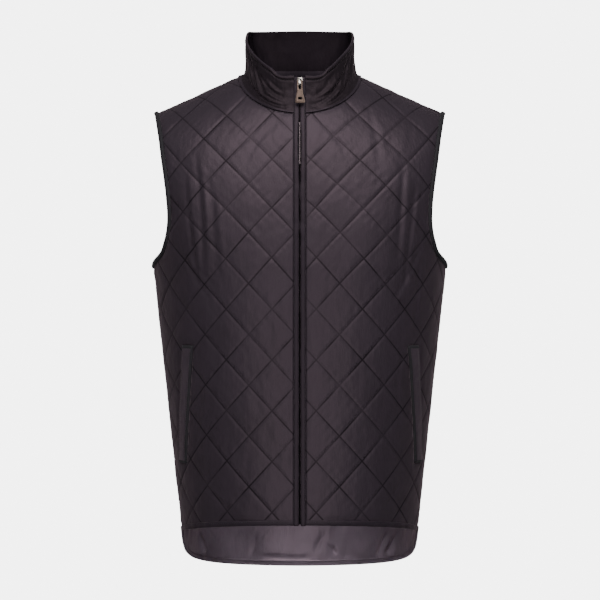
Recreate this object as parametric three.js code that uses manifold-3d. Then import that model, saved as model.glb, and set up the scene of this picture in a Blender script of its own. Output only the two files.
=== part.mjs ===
// A man's quilted vest in its worn form: hollow, with the neck, hem and armholes open and the zip closed.
// Millimetres, +Z up, the front faces -Y and the wearer's left is +X.
// The origin lies midway between the two points where the shoulders meet the neck.
//  Each panel is quilted and cut while it is flat, as a maker does, and then hung on the form. A flat
// place is (across, up, out): across from the centre front or back, up from the level of the underarms,
// out from the lining.
import * as THREE from "three";
import { mergeVertices } from "three/addons/utils/BufferGeometryUtils.js";
import Module from "manifold-3d";

const wasm = await Module();
wasm.setup();

const SEAM_GAP = 0.3;

// Sizes of the form, measured on the plain inside of the cloth.
const form = {
  underarmHeight: -297,
  frontHemHeight: -685,
  backSideHeight: -692.5,
  frontHemRise: 23,
  tailDrop: 63.5,
  tailRoundness: 2,
  shoulderTipOut: 212,
  shoulderTipHeight: -66,
  shoulderSlope: 0.415,
  shoulderHollow: 0.0004,
  crestRound: 40,
  neckOut: 90,
  frontNeckHeight: -74,
  backNeckHeight: -6,
  yokeHeight: -200,
};

// Level sections of the cloth. Below the underarms `height` places them, and above them the section
// spreads towards the shoulder's. A turn says how late the cloth bends back between the centre and the
// side seam.
const sections = {
  hem: { height: -685, halfWidth: 175, frontTurn: 1.45, backTurn: 1.3 },
  underarm: { height: form.underarmHeight, halfWidth: 217, frontTurn: 1.8, backTurn: 1.65 },
  shoulder: { halfWidth: 262, frontTurn: 2.6, backTurn: 2.4 },
};

// The two faces of the form. The back is the front's formula turned half round. `fullness` says how
// square the cloth goes over the shoulder, seen from the side.
const faces = {
  front: { turn: "frontTurn", facing: 1, fullness: 2.5 },
  back: { turn: "backTurn", facing: -1, fullness: 3 },
};

// Armholes as seen from the front: how far out each face's edge lies at each height.
const armholeRows = [
  { height: -84, front: 206, back: 207.5 },
  { height: -110, front: 201, back: 204.5 },
  { height: -140, front: 196.5, back: 202 },
  { height: -170, front: 192, back: 199.5 },
  { height: -198, front: 188.5, back: 197.5 },
  { height: -222, front: 187, back: 196.5 },
  { height: -243, front: 188.5, back: 197 },
  { height: -262, front: 193, back: 199.5 },
  { height: -280, front: 201, back: 204 },
];

// A flat place just inside the side seam that keeps the armhole's lowest stretch level.
const armholeFloor = { inward: 22, up: 2.5 };

// Diamond quilting. Seams cross every `across` by `down`, and each panel has a seam crossing at its
// `start`.
const quilt = { across: 66.8, down: 73, thin: 2, puff: 5.5, edgeFade: 15, softness: 0.6 };
const quiltStart = {
  front_left: { across: 23.5, up: 12 },
  front_right: { across: -39.8, up: 12 },
  back: { across: 0, up: 12 },
  back_yoke: { across: 0, up: 12 },
};

// Plain strips beside the zip, and the chain between them, as (x, out) sizes.
const zip = {
  stripInner: 1.5,
  stripOuter: 8.7,
  stripThick: 4.5,
  stripBelow: 7,
  chainHalf: 1.2,
  chainThick: 2.3,
  chainBelow: 5,
  topDrop: 1.5,
};

const welt = { width: 22, thick: 6, inside: 0.4, topHeight: -411, bottomHeight: -584 };
const weltSection = [
  { part: 0, rise: 0.7 },
  { part: 0.15, rise: 1 },
  { part: 0.5, rise: 1 },
  { part: 0.85, rise: 1 },
  { part: 1, rise: 0.7 },
];
const weltOut = {
  left: { top: 164, bottom: 172 },
  right: { top: 161.5, bottom: 169.5 },
};

// Cross sections of the narrow bands, as places (away from the panel's edge, out from the lining).
const bindingSection = [
  { away: 0.3, out: 0 },
  { away: 0.3, out: 3.2 },
  { away: 2.2, out: 4.6 },
  { away: 5.4, out: 4 },
  { away: 6.6, out: 1.6 },
  { away: 5.2, out: -0.8 },
  { away: 2.2, out: -1.2 },
];
const hemSection = [
  { away: 0.3, out: 0 },
  { away: 0.3, out: 2.6 },
  { away: 2, out: 3.6 },
  { away: 6, out: 3.4 },
  { away: 7, out: 1.8 },
  { away: 6, out: 0 },
];

// The collar's top edge: heights at the centre front and back, the angle over which it climbs most of the
// way and the share that it climbs evenly all the way round.
const collar = {
  frontTop: -20,
  backTop: 65,
  climbDegrees: 138,
  lateClimb: 0.1,
  topOut: 78,
  topFront: -84,
  topBack: 60,
  thick: 4,
  rootReach: 26,
  rise: 62,
  turnedAt: 0.45,
};

const slider = {
  seatShare: 0.35,
  seatGap: 0.5,
  width: 8.4,
  lowWidth: 5.9,
  topWidth: 6.7,
  height: 11,
  widestUp: 1.1,
  plate: 1.4,
  stemHeight: 7.7,
  bailWidth: 2.4,
  bailOut: 5,
  bailWall: 1.2,
  bailCorner: 1,
  bailSunk: 0.4,
  tunnel: 3.6,
};
const tab = {
  restDegrees: 11,
  length: 28,
  topWidth: 8.2,
  neckWidth: 8.4,
  neckDrop: 9,
  bottomWidth: 15.6,
  thick: 1.6,
  bar: 1.8,
  eyeWidth: 3.4,
  eyeLength: 5.2,
  slotWidth: 7.6,
  slotHeight: 3.6,
  slotUp: 5.2,
  lowCorner: 1.5,
  topCorner: 1,
};

const shell = new THREE.MeshStandardMaterial({ color: 0x3a3238, roughness: 0.5 });
const plain = new THREE.MeshStandardMaterial({ color: 0x2f2a30, roughness: 0.5 });
const binding = new THREE.MeshStandardMaterial({ color: 0x17151a, roughness: 0.7 });
const chainMetal = new THREE.MeshStandardMaterial({ color: 0x8f8a88, roughness: 0.4, metalness: 1 });
const metal = new THREE.MeshStandardMaterial({ color: 0x9e8880, roughness: 0.35, metalness: 1 });

const mix = THREE.MathUtils.lerp;

// A flat place this far across lies past every panel's side.
const farthestAcross = 330;

// Lengths of the straight pieces that the curved edges are cut in.
const edgePieces = { armhole: 8.5, neck: 8 };

// Flat levels below the lining and above the padding, between which blocks are cut.
const cut = { blockFloor: -6, hollowFloor: -7, knifeLow: -20, knifeHigh: 30 };

// The lining's grid is half as fine as the quilting's below `finerAbove`. Its ripple is too low to see
// and keeps the grid's points through the cut.
const lining = { finerAbove: 120, ripple: 0.06, rippleAcross: 1.7, rippleUp: 2.3, rippleStart: 0.6 };

// Where an arc along a quarter section ends, `across` and `back`, as shares of the quarter's length. The
// heading turns from straight across to straight back as share^turn, and Simpson's rule adds the steps
// up.
function quarterArc(share, turn) {
  const steps = 16;
  let across = 0;
  let back = 0;
  for (let i = 0; i <= steps; i++) {
    const heading = (Math.PI / 2) * ((share * i) / steps) ** turn;
    const ends = i === 0 || i === steps;
    const inner = i % 2 ? 4 : 2;
    const weight = ends ? 1 : inner;
    across += weight * Math.cos(heading);
    back += weight * Math.sin(heading);
  }
  const scale = share / steps / 3;
  return { across: across * scale, back: back * scale };
}

// The quarter section of one face between two table rows.
function sectionBetween(face, low, high, share) {
  const turn = mix(low[face.turn], high[face.turn], share);
  const whole = quarterArc(1, turn);
  const length = mix(low.halfWidth, high.halfWidth, share) / whole.across;
  return { turn, length, depth: whole.back * length };
}

function sectionAtHeight(face, height) {
  const { hem, underarm } = sections;
  return sectionBetween(face, hem, underarm, (height - hem.height) / (underarm.height - hem.height));
}

function sectionAtClimb(face, climb) {
  return sectionBetween(face, sections.underarm, sections.shoulder, climb);
}

// The point `across` along a section, before the cloth leans in towards the shoulder. Past the side seam
// the cloth goes on straight back.
function alongSection(section, across) {
  const inside = Math.min(across, section.length);
  const arc = quarterArc(inside / section.length, section.turn);
  const depth = section.depth - arc.back * section.length - (across - inside);
  return { x: arc.across * section.length, depth };
}

// Height of the shoulder's crest at a distance from the middle. It rounds over where the shoulders would
// meet.
function crestHeight(x) {
  const inward = Math.hypot(form.shoulderTipOut, form.crestRound) - Math.hypot(x, form.crestRound);
  return form.shoulderTipHeight + form.shoulderSlope * inward + form.shoulderHollow * inward ** 2;
}

function columnTop(face, across) {
  return crestHeight(alongSection(sectionAtClimb(face, 1), across).x);
}

// A point of one face's column above the underarm. `lean` is an angle from 0 at the underarm to a right
// angle on the crest, and past it the cloth goes on down the other side.
function abovePoint(face, across, top, lean) {
  const climb = Math.min(Math.sin(lean), 1);
  const place = alongSection(sectionAtClimb(face, climb), across);
  const nearness = Math.sign(Math.cos(lean)) * Math.sqrt(Math.max(0, 1 - climb ** face.fullness));
  const height = mix(form.underarmHeight, top, climb);
  return new THREE.Vector3(place.x, -place.depth * nearness, height);
}

// A column of cloth above the underarm as a table of lean against length up the cloth.
const columns = new Map();
function column(face, across) {
  const key = face.turn + across.toFixed(4);
  if (!columns.has(key)) {
    const steps = 40;
    const farthest = Math.PI / 2 + 0.2;
    const top = columnTop(face, across);
    const rows = [{ lean: 0, up: 0 }];
    let last = abovePoint(face, across, top, 0);
    for (let i = 1; i <= steps; i++) {
      const lean = (farthest * i) / steps;
      const here = abovePoint(face, across, top, lean);
      rows.push({ lean, up: rows[i - 1].up + here.distanceTo(last) });
      last = here;
    }
    columns.set(key, { top, rows });
  }
  return columns.get(key);
}

// Reads a table of rows at a value of one named column.
function readTable(rows, from, value, to) {
  const next = Math.min(Math.max(rows.findIndex((row) => row[from] >= value), 1), rows.length - 1);
  const low = rows[next - 1];
  const high = rows[next];
  return mix(low[to], high[to], (value - low[from]) / (high[from] - low[from]));
}

// Hangs a flat place on the form, without its thickness.
function hang(face, across, up) {
  const side = Math.sign(across) || 1;
  const reach = Math.abs(across);
  let point;
  if (up <= 0) {
    const height = form.underarmHeight + up;
    const place = alongSection(sectionAtHeight(face, height), reach);
    point = new THREE.Vector3(place.x, -place.depth, height);
  } else {
    const { top, rows } = column(face, reach);
    point = abovePoint(face, reach, top, readTable(rows, "up", up, "lean"));
  }
  return point.multiply(new THREE.Vector3(side * face.facing, face.facing, 1));
}

// The direction out of the cloth at a flat place.
function outward(face, across, up) {
  const step = 0.5;
  const alongAcross = hang(face, across + step, up).sub(hang(face, across - step, up));
  const alongUp = hang(face, across, up + step).sub(hang(face, across, up - step));
  return alongAcross.cross(alongUp).normalize();
}

function hangOut(face, across, up, out) {
  return hang(face, across, up).addScaledVector(outward(face, across, up), out);
}

// The flat place of the point that lies at x and a height on one face, found by halving.
function flatPlace(face, x, height) {
  const up = height - form.underarmHeight;
  const climbOf = (across) => up / (columnTop(face, across) - form.underarmHeight);
  const sectionOf = (across) => {
    return up > 0 ? sectionAtClimb(face, climbOf(across)) : sectionAtHeight(face, height);
  };
  const halvings = 40;
  let low = 0;
  let high = farthestAcross;
  for (let i = 0; i < halvings; i++) {
    const middle = (low + high) / 2;
    if (alongSection(sectionOf(middle), middle).x < x) low = middle;
    else high = middle;
  }
  if (up <= 0) return new THREE.Vector2(low, up);
  const lean = Math.asin(Math.min(1, climbOf(low)));
  return new THREE.Vector2(low, readTable(column(face, low).rows, "lean", lean, "up"));
}

const flipped = (places) => places.map((place) => new THREE.Vector2(-place.x, place.y));
const spaced = (places, step) => {
  const curve = new THREE.SplineCurve(places);
  return curve.getSpacedPoints(Math.round(curve.getLength() / step));
};
const ladder = (count, make) => Array.from({ length: count + 1 }, (unused, i) => make(i / count));

// Edges of the panels in flat places, each on the +across side.
function shoulderEdge(face) {
  const tip = flatPlace(face, form.shoulderTipOut, form.shoulderTipHeight);
  const neck = flatPlace(face, form.neckOut, crestHeight(form.neckOut));
  return ladder(10, (share) => {
    const across = mix(tip.x, neck.x, share);
    return new THREE.Vector2(across, readTable(column(face, across).rows, "lean", Math.PI / 2, "up"));
  });
}

function armholeEdge(face, name) {
  const rows = [...armholeRows].reverse().map((row) => flatPlace(face, row[name], row.height));
  const bottom = new THREE.Vector2(sectionAtHeight(face, form.underarmHeight).length, 0);
  const floor = new THREE.Vector2(bottom.x - armholeFloor.inward, armholeFloor.up);
  return spaced([bottom, floor, ...rows, shoulderEdge(face)[0]], edgePieces.armhole);
}

function neckEdge(face, centreHeight, innermost) {
  const sideHeight = crestHeight(form.neckOut);
  const first = Math.asin(innermost / form.neckOut);
  const places = ladder(12, (share) => {
    const angle = mix(Math.PI / 2, first, share);
    const height = mix(sideHeight, centreHeight, Math.cos(angle));
    return flatPlace(face, form.neckOut * Math.sin(angle), height);
  });
  places[0] = shoulderEdge(face).at(-1);
  return spaced(places, edgePieces.neck);
}

function sideEdge(face, bottomHeight) {
  return ladder(8, (share) => {
    const height = mix(bottomHeight, form.underarmHeight, share);
    return new THREE.Vector2(sectionAtHeight(face, height).length, height - form.underarmHeight);
  });
}

// The fronts' hem lies in a plane that rises towards the centre front.
function frontHem(innermost) {
  const section = sectionAtHeight(faces.front, form.frontHemHeight);
  return ladder(16, (share) => {
    const across = mix(innermost, section.length, share);
    const forward = alongSection(section, across).depth / section.depth;
    const height = form.frontHemHeight + form.frontHemRise * forward;
    return new THREE.Vector2(across, height - form.underarmHeight);
  });
}

// The back's tail: a rounded curve from the bottom of the side seam down to the centre back.
function tailHem() {
  const power = 2 / form.tailRoundness;
  return ladder(18, (share) => {
    const angle = (share * Math.PI) / 2;
    const height = form.backSideHeight - form.tailDrop * Math.cos(angle) ** power;
    const length = sectionAtHeight(faces.back, height).length;
    return new THREE.Vector2(length * Math.sin(angle) ** power, height - form.underarmHeight);
  });
}

const insetAcross = (places) => places.map((place) => new THREE.Vector2(place.x - SEAM_GAP / 2, place.y));
const insetUp = (places) => places.map((place) => new THREE.Vector2(place.x, place.y - SEAM_GAP / 2));

// Cut outlines, as closed loops of flat places.
const panelEdge = zip.stripOuter + SEAM_GAP;
const frontHalf = [
  ...frontHem(panelEdge).slice(0, -1),
  ...insetAcross(sideEdge(faces.front, form.frontHemHeight)).slice(0, -1),
  ...armholeEdge(faces.front, "front").slice(0, -1),
  ...insetUp(shoulderEdge(faces.front)).slice(0, -1),
  ...neckEdge(faces.front, form.frontNeckHeight, panelEdge),
];
const backHalf = [
  ...tailHem().slice(1, -1),
  ...insetAcross(sideEdge(faces.back, form.backSideHeight)).slice(0, -1),
  ...armholeEdge(faces.back, "back").slice(0, -1),
  ...insetUp(shoulderEdge(faces.back)).slice(0, -1),
  ...neckEdge(faces.back, form.backNeckHeight, 0).slice(0, -1),
];
const backNeckMiddle = neckEdge(faces.back, form.backNeckHeight, 0).at(-1);
const backOutline = [tailHem()[0], ...backHalf, backNeckMiddle, ...flipped(backHalf).reverse()];

// The stretch of an outline above a level (side 1) or below it (side -1).
function cutAt(outline, level, side) {
  return outline.flatMap((start, i) => {
    const end = outline[(i + 1) % outline.length];
    const kept = (start.y - level) * side > 0 ? [start] : [];
    if (start.y > level === end.y > level) return kept;
    return [...kept, start.clone().lerp(end, (level - start.y) / (end.y - start.y))];
  });
}

function weltOutline(side, growth) {
  const top = flatPlace(faces.front, weltOut[side].top, welt.topHeight);
  const bottom = flatPlace(faces.front, weltOut[side].bottom, welt.bottomHeight);
  const half = welt.width / 2 + growth;
  return [
    new THREE.Vector2(bottom.x - half, bottom.y - growth),
    new THREE.Vector2(bottom.x + half, bottom.y - growth),
    new THREE.Vector2(top.x + half, top.y + growth),
    new THREE.Vector2(top.x - half, top.y + growth),
  ];
}

// Flat distance from a place to the nearest stretch of a closed outline.
function distanceToOutline(outline, place) {
  return Math.min(
    ...outline.map((start, i) => {
      const along = outline[(i + 1) % outline.length].clone().sub(start);
      const share = THREE.MathUtils.clamp(place.clone().sub(start).dot(along) / along.lengthSq(), 0, 1);
      return start.clone().addScaledVector(along, share).distanceTo(place);
    }),
  );
}

// Whether a place is within a closed outline: a line from it to the right crosses the outline an odd
// number of times.
function isWithin(outline, place) {
  const crossings = outline.filter((start, i) => {
    const end = outline[(i + 1) % outline.length];
    if (start.y > place.y === end.y > place.y) return false;
    return place.x < mix(start.x, end.x, (place.y - start.y) / (end.y - start.y));
  });
  return crossings.length % 2 === 1;
}

// Loft of a diamond's padding at a flat place: none on the seams, full in the middle.
function padding(start, place) {
  const across = (place.x - start.across) / quilt.across;
  const down = (place.y - start.up) / quilt.down;
  const between = (value) => Math.abs(Math.sin(Math.PI * value));
  return (between(across + down) * between(across - down)) ** quilt.softness;
}

function geometryFrom(positions, index) {
  const geometry = new THREE.BufferGeometry();
  geometry.setAttribute("position", new THREE.Float32BufferAttribute(positions, 3));
  geometry.setIndex(index);
  return geometry;
}

// A closed block between a grid of heights and a flat floor. Every diagonal joins two even grid points,
// so the seams of the quilting lie on edges.
function reliefBlock(acrossSteps, upSteps, floor, heightAt) {
  const positions = [];
  const index = [];
  const width = acrossSteps.length;
  const layer = width * upSteps.length;
  for (const level of ["top", "floor"]) {
    for (const up of upSteps) {
      for (const across of acrossSteps) {
        positions.push(across.at, up.at, level === "top" ? heightAt(across, up) : floor);
      }
    }
  }
  const quad = (a, b, c, d) => index.push(a, b, c, a, c, d);
  for (let j = 0; j < upSteps.length - 1; j++) {
    for (let i = 0; i < width - 1; i++) {
      const a = j * width + i;
      const [b, c, d] = [a + 1, a + width + 1, a + width];
      const even = (acrossSteps[i].count - upSteps[j].count) % 2 === 0;
      if (even) quad(a, b, c, d);
      else quad(b, c, d, a);
      quad(a + layer, d + layer, c + layer, b + layer);
    }
  }
  const wall = (from, to) => quad(from, from + layer, to + layer, to);
  for (let i = 0; i < width - 1; i++) {
    wall(i, i + 1);
    wall(layer - width + i + 1, layer - width + i);
  }
  for (let j = 0; j < upSteps.length - 1; j++) {
    wall((j + 1) * width, j * width);
    wall(j * width + width - 1, (j + 1) * width + width - 1);
  }
  return geometryFrom(positions, index);
}

function toSolid(geometry) {
  const bare = geometry.clone();
  bare.deleteAttribute("normal");
  bare.deleteAttribute("uv");
  const merged = mergeVertices(bare, 1e-4);
  const made = new wasm.Mesh({
    numProp: 3,
    vertProperties: merged.attributes.position.array,
    triVerts: new Uint32Array(merged.index.array),
  });
  return new wasm.Manifold(made);
}

function toGeometry(solid) {
  const made = solid.getMesh();
  return geometryFrom(Array.from(made.vertProperties), Array.from(made.triVerts));
}

// A knife of a panel's outline, through all its levels.
function prism(outline) {
  const depth = cut.knifeHigh - cut.knifeLow;
  const block = new THREE.ExtrudeGeometry(new THREE.Shape(outline), { depth, bevelEnabled: false });
  return toSolid(block.translate(0, 0, cut.knifeLow));
}

// Grid steps that cover a stretch, counted from the quilting's start.
function gridSteps(low, high, start, pitch) {
  const first = Math.floor((low - start) / pitch) - 1;
  const last = Math.ceil((high - start) / pitch) + 1;
  return ladder(last - first, (share) => {
    const count = Math.round(mix(first, last, share));
    return { count, at: start + count * pitch };
  });
}

// A quilted panel: padding raised on the outside of a flat wall, plain inside, cut to its outline and
// hung.
function quiltedPanel(name, face, outline, slots) {
  const start = quiltStart[name];
  const bounds = new THREE.Box2().setFromPoints(outline);
  const acrossSteps = gridSteps(bounds.min.x, bounds.max.x, start.across, quilt.across / 4);
  const upSteps = gridSteps(bounds.min.y, bounds.max.y, start.up, quilt.down / 4);
  const edges = [outline, ...slots];
  const raised = reliefBlock(acrossSteps, upSteps, cut.blockFloor, (across, up) => {
    const place = new THREE.Vector2(across.at, up.at);
    if (!isWithin(outline, place) || slots.some((slot) => isWithin(slot, place))) return quilt.thin;
    const edge = Math.min(...edges.map((loop) => distanceToOutline(loop, place)));
    const fade = THREE.MathUtils.smoothstep(edge, 0, quilt.edgeFade);
    return quilt.thin + quilt.puff * padding(start, place) * fade;
  });
  const isKept = (step, i, steps) => step.count % 2 === 0 || i === 0 || i === steps.length - 1;
  const liningAcross = acrossSteps.filter(isKept);
  const liningUp = upSteps.filter((step, i, steps) => isKept(step, i, steps) || step.at > lining.finerAbove);
  const wave = (count, pace) => Math.sin(count * pace + lining.rippleStart);
  const hollow = reliefBlock(liningAcross, liningUp, cut.hollowFloor, (across, up) => {
    return lining.ripple * wave(across.count, lining.rippleAcross) * wave(up.count, lining.rippleUp);
  });
  let flat = toSolid(raised).intersect(prism(outline)).subtract(toSolid(hollow));
  for (const slot of slots) flat = flat.subtract(prism(slot));
  const geometry = toGeometry(flat);
  const position = geometry.attributes.position;
  for (let i = 0; i < position.count; i++) {
    const point = hangOut(face, position.getX(i), position.getY(i), position.getZ(i));
    position.setXYZ(i, point.x, point.y, point.z);
  }
  return geometry;
}

// Joins like loops of points into one closed skin, turned to face outwards. An open sweep's ends are
// closed by rungs between a loop's first and second half.
function sweep(loops, closed) {
  const size = loops[0].length;
  const positions = loops.flat().flatMap((point) => point.toArray());
  const index = [];
  const at = (loop, i) => (loop % loops.length) * size + (i % size);
  const last = closed ? loops.length : loops.length - 1;
  for (let j = 0; j < last; j++) {
    for (let i = 0; i < size; i++) {
      index.push(at(j, i), at(j, i + 1), at(j + 1, i + 1), at(j, i), at(j + 1, i + 1), at(j + 1, i));
    }
  }
  const cap = (loop, corners) => {
    for (let i = 0; i < size / 2 - 1; i++) {
      const [a, b, c, d] = [i, i + 1, size - 2 - i, size - 1 - i].map((corner) => at(loop, corner));
      const triangles = b === c ? [a, b, d] : [a, b, c, a, c, d];
      index.push(...(corners > 0 ? triangles : triangles.reverse()));
    }
  };
  if (!closed) {
    cap(0, -1);
    cap(loops.length - 1, 1);
  }
  const geometry = geometryFrom(positions, index);
  return toGeometry(facingOut(geometry));
}

// A closed skin as a solid, turned round if its faces point inwards.
function facingOut(geometry) {
  const index = geometry.index.array;
  const position = geometry.attributes.position;
  const corner = (i) => new THREE.Vector3().fromBufferAttribute(position, index[i]);
  let volume = 0;
  for (let i = 0; i < index.length; i += 3) volume += corner(i).dot(corner(i + 1).cross(corner(i + 2)));
  if (volume < 0) geometry.setIndex(Array.from(index).reverse());
  return toSolid(geometry);
}

// A narrow band beside a panel's edge. Each station holds a point of the edge and the directions out of
// and away from the panel there.
function bandLoops(stations, section) {
  return stations.map(({ point, out, away }) => {
    return section.map((corner) => {
      return point.clone().addScaledVector(away, corner.away).addScaledVector(out, corner.out);
    });
  });
}

function edgeStations(places, closed, awaySide) {
  const points = places.map(({ face, place }) => hang(face, place.x, place.y));
  return places.map(({ face, place }, i) => {
    const count = points.length;
    const before = points[closed ? (i + count - 1) % count : Math.max(i - 1, 0)];
    const after = points[closed ? (i + 1) % count : Math.min(i + 1, count - 1)];
    const out = outward(face, place.x, place.y);
    const away = after.clone().sub(before).cross(out).normalize().multiplyScalar(awaySide);
    return { point: points[i], out, away };
  });
}

function armholeBinding(side) {
  const front = armholeEdge(faces.front, "front").map((place) => ({ face: faces.front, place }));
  const back = armholeEdge(faces.back, "back").map((place) => ({ face: faces.back, place }));
  const loop = [...front, ...back.reverse().slice(1, -1)];
  const sided = loop.map(({ face, place }) => {
    const across = place.x * side * face.facing;
    return { face, place: new THREE.Vector2(across, place.y) };
  });
  return sweep(bandLoops(edgeStations(sided, true, side), bindingSection), true);
}

function hemBand(face, places, awaySide) {
  const edge = places.map((place) => ({ face, place }));
  return sweep(bandLoops(edgeStations(edge, false, awaySide), hemSection), false);
}

const neckFrontPlace = flatPlace(faces.front, 0, form.frontNeckHeight);
const neckFront = hang(faces.front, 0, neckFrontPlace.y);
const neckBack = hang(faces.back, 0, backNeckMiddle.y);

// The neck seam as one run of stations from the centre front round the wearer's left to the centre back.
function neckStations() {
  const front = neckEdge(faces.front, form.frontNeckHeight, panelEdge).reverse();
  const back = flipped(neckEdge(faces.back, form.backNeckHeight, 0));
  const half = [
    ...front.map((place) => ({ face: faces.front, place })),
    ...back.slice(1).map((place) => ({ face: faces.back, place })),
  ];
  const stations = edgeStations(half, false, -1);
  // The ends at the centre front and back stand square to the middle, where the strips and the halves
  // meet.
  for (const end of [stations[0], stations.at(-1)]) {
    end.out.setX(0).normalize();
    end.away.setX(0).normalize();
  }
  return stations;
}

// The collar's profile at a place round the neck: it leaves the seam along the panel and turns up to the
// rim.
function collarProfile(station, angle) {
  const early = THREE.MathUtils.smoothstep(angle, 0, THREE.MathUtils.degToRad(collar.climbDegrees));
  const climb = mix(early, angle / Math.PI, collar.lateClimb);
  const forward = Math.cos(angle) > 0 ? collar.topFront : -collar.topBack;
  const innermost = angle < Math.PI / 2 ? panelEdge : 0;
  const rim = new THREE.Vector3(
    Math.max(collar.topOut * Math.sin(angle), innermost),
    forward * Math.cos(angle),
    mix(collar.frontTop, collar.backTop, climb),
  );
  const radial = new THREE.Vector3(rim.x, rim.y, 0).normalize();
  const root = station.point.clone().addScaledVector(station.away, SEAM_GAP);
  const upright = new THREE.Vector3(0, 0, collar.rise);
  return ladder(6, (share) => {
    // A Hermite curve from the seam to the rim, which sets off along the panel and ends upright.
    const toRim = share * share * (3 - 2 * share);
    const point = root
      .clone()
      .lerp(rim, toRim)
      .addScaledVector(station.away, collar.rootReach * share * (1 - share) ** 2)
      .addScaledVector(upright, share * share * (share - 1));
    const out = station.out.clone().lerp(radial, Math.min(1, share / collar.turnedAt)).normalize();
    return { point, out };
  });
}

function collarLoop({ point, away, out }, angle) {
  const profile = collarProfile({ point, away, out }, angle);
  const inner = profile.map((row) => row.point);
  const outer = profile.map((row) => row.point.clone().addScaledVector(row.out, collar.thick));
  return [...inner, ...outer.reverse()];
}

function collarWall() {
  const half = neckStations().map((station) => {
    const { x, y } = station.point;
    const angle = Math.atan2(Math.abs(x) / form.neckOut, -y / (y < 0 ? -neckFront.y : neckBack.y));
    return collarLoop(station, angle);
  });
  const mirror = new THREE.Vector3(-1, 1, 1);
  const mirrored = half.slice(0, -1).map((loop) => loop.map((point) => point.clone().multiply(mirror)));
  return sweep([...mirrored, ...half.reverse()], false);
}

// The centre front as a run of points with their directions out, from the hem to the collar's top.
function centreFront(bottom, dropAtTop) {
  const low = frontHem(0)[0].y - bottom;
  const panel = ladder(40, (share) => {
    const up = mix(low, neckFrontPlace.y, share);
    return { point: hang(faces.front, 0, up), out: outward(faces.front, 0, up) };
  });
  const away = panel.at(-1).point.clone().sub(panel.at(-2).point).normalize();
  const profile = collarProfile({ ...panel.at(-1), away }, 0).slice(1);
  profile.at(-1).point.z -= dropAtTop;
  for (const { point, out } of profile) {
    point.setX(0);
    out.setX(0).normalize();
  }
  return [...panel, ...profile];
}

function zipRun(run, inner, outer, low, thick) {
  return sweep(
    run.map(({ point, out }) => {
      const corner = (x, lift) => point.clone().addScaledVector(out, lift).setX(x);
      return [corner(inner, low), corner(inner, thick), corner(outer, thick), corner(outer, low)];
    }),
    false,
  );
}

function pocketWelt(sideName, side) {
  const [lowInner, lowOuter, highOuter, highInner] = weltOutline(sideName, 0);
  const rows = ladder(10, (share) => {
    const inner = lowInner.clone().lerp(highInner, share);
    const outer = lowOuter.clone().lerp(highOuter, share);
    const place = (part, out) => {
      const flat = inner.clone().lerp(outer, part);
      return hangOut(faces.front, flat.x * side, flat.y, out);
    };
    const outside = weltSection.map(({ part, rise }) => place(part, welt.thick * rise));
    const inside = weltSection.map(({ part }) => place(1 - part, welt.inside));
    return [...outside, ...inside];
  });
  return sweep(rows, false);
}

// The slider: a plate over the chain, a stem that reaches down between the strips and a bail on the
// plate. Its own frame has +Y up the zip and +Z out of it, with the bail's tunnel centred on the hinge.
function sliderBody() {
  const plateSide = [
    new THREE.Vector2(slider.lowWidth / 2, -slider.height / 2),
    new THREE.Vector2(slider.width / 2, slider.widestUp),
    new THREE.Vector2(slider.topWidth / 2, slider.height / 2),
  ];
  const plateShape = new THREE.Shape([...plateSide, ...flipped(plateSide).reverse()]);
  const plateLow = zip.stripThick + slider.seatGap;
  const plate = new THREE.ExtrudeGeometry(plateShape, { depth: slider.plate, bevelEnabled: false });
  const stemLow = zip.chainThick + SEAM_GAP;
  const stemHigh = plateLow + slider.plate / 2;
  const stem = new THREE.BoxGeometry(zip.chainHalf * 2, slider.stemHeight, stemHigh - stemLow);
  const inside = slider.tunnel / 2;
  const legs = inside + slider.bailWall;
  const bailSide = [
    new THREE.Vector2(legs, 0),
    new THREE.Vector2(legs, slider.bailOut - slider.bailCorner),
    new THREE.Vector2(legs - slider.bailCorner, slider.bailOut),
  ];
  const tunnelSide = [
    new THREE.Vector2(inside, slider.bailSunk),
    new THREE.Vector2(inside, slider.bailOut - slider.bailWall),
  ];
  const bailShape = new THREE.Shape([...bailSide, ...flipped(bailSide).reverse()]);
  bailShape.holes.push(new THREE.Path([...tunnelSide, ...flipped(tunnelSide).reverse()]));
  const bail = new THREE.ExtrudeGeometry(bailShape, { depth: slider.bailWidth, bevelEnabled: false });
  bail.rotateY(Math.PI / 2).rotateX(Math.PI / 2);
  const plateTop = plateLow + slider.plate;
  const joined = toSolid(plate.translate(0, 0, plateLow))
    .add(toSolid(stem.translate(0, 0, (stemLow + stemHigh) / 2)))
    .add(toSolid(turnedBail(bail, plateTop - slider.bailSunk)));
  return toGeometry(joined);
}

// Sets the bail upright on the plate: its outline's first axis runs up the zip and its second out of it.
function turnedBail(bail, base) {
  const box = new THREE.Box3().setFromBufferAttribute(bail.attributes.position);
  const middle = box.getCenter(new THREE.Vector3());
  return bail.translate(-middle.x, -middle.y, base - box.min.z);
}

const hingeOut = zip.stripThick + slider.seatGap + slider.plate + (slider.bailOut - slider.bailWall) / 2;

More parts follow.
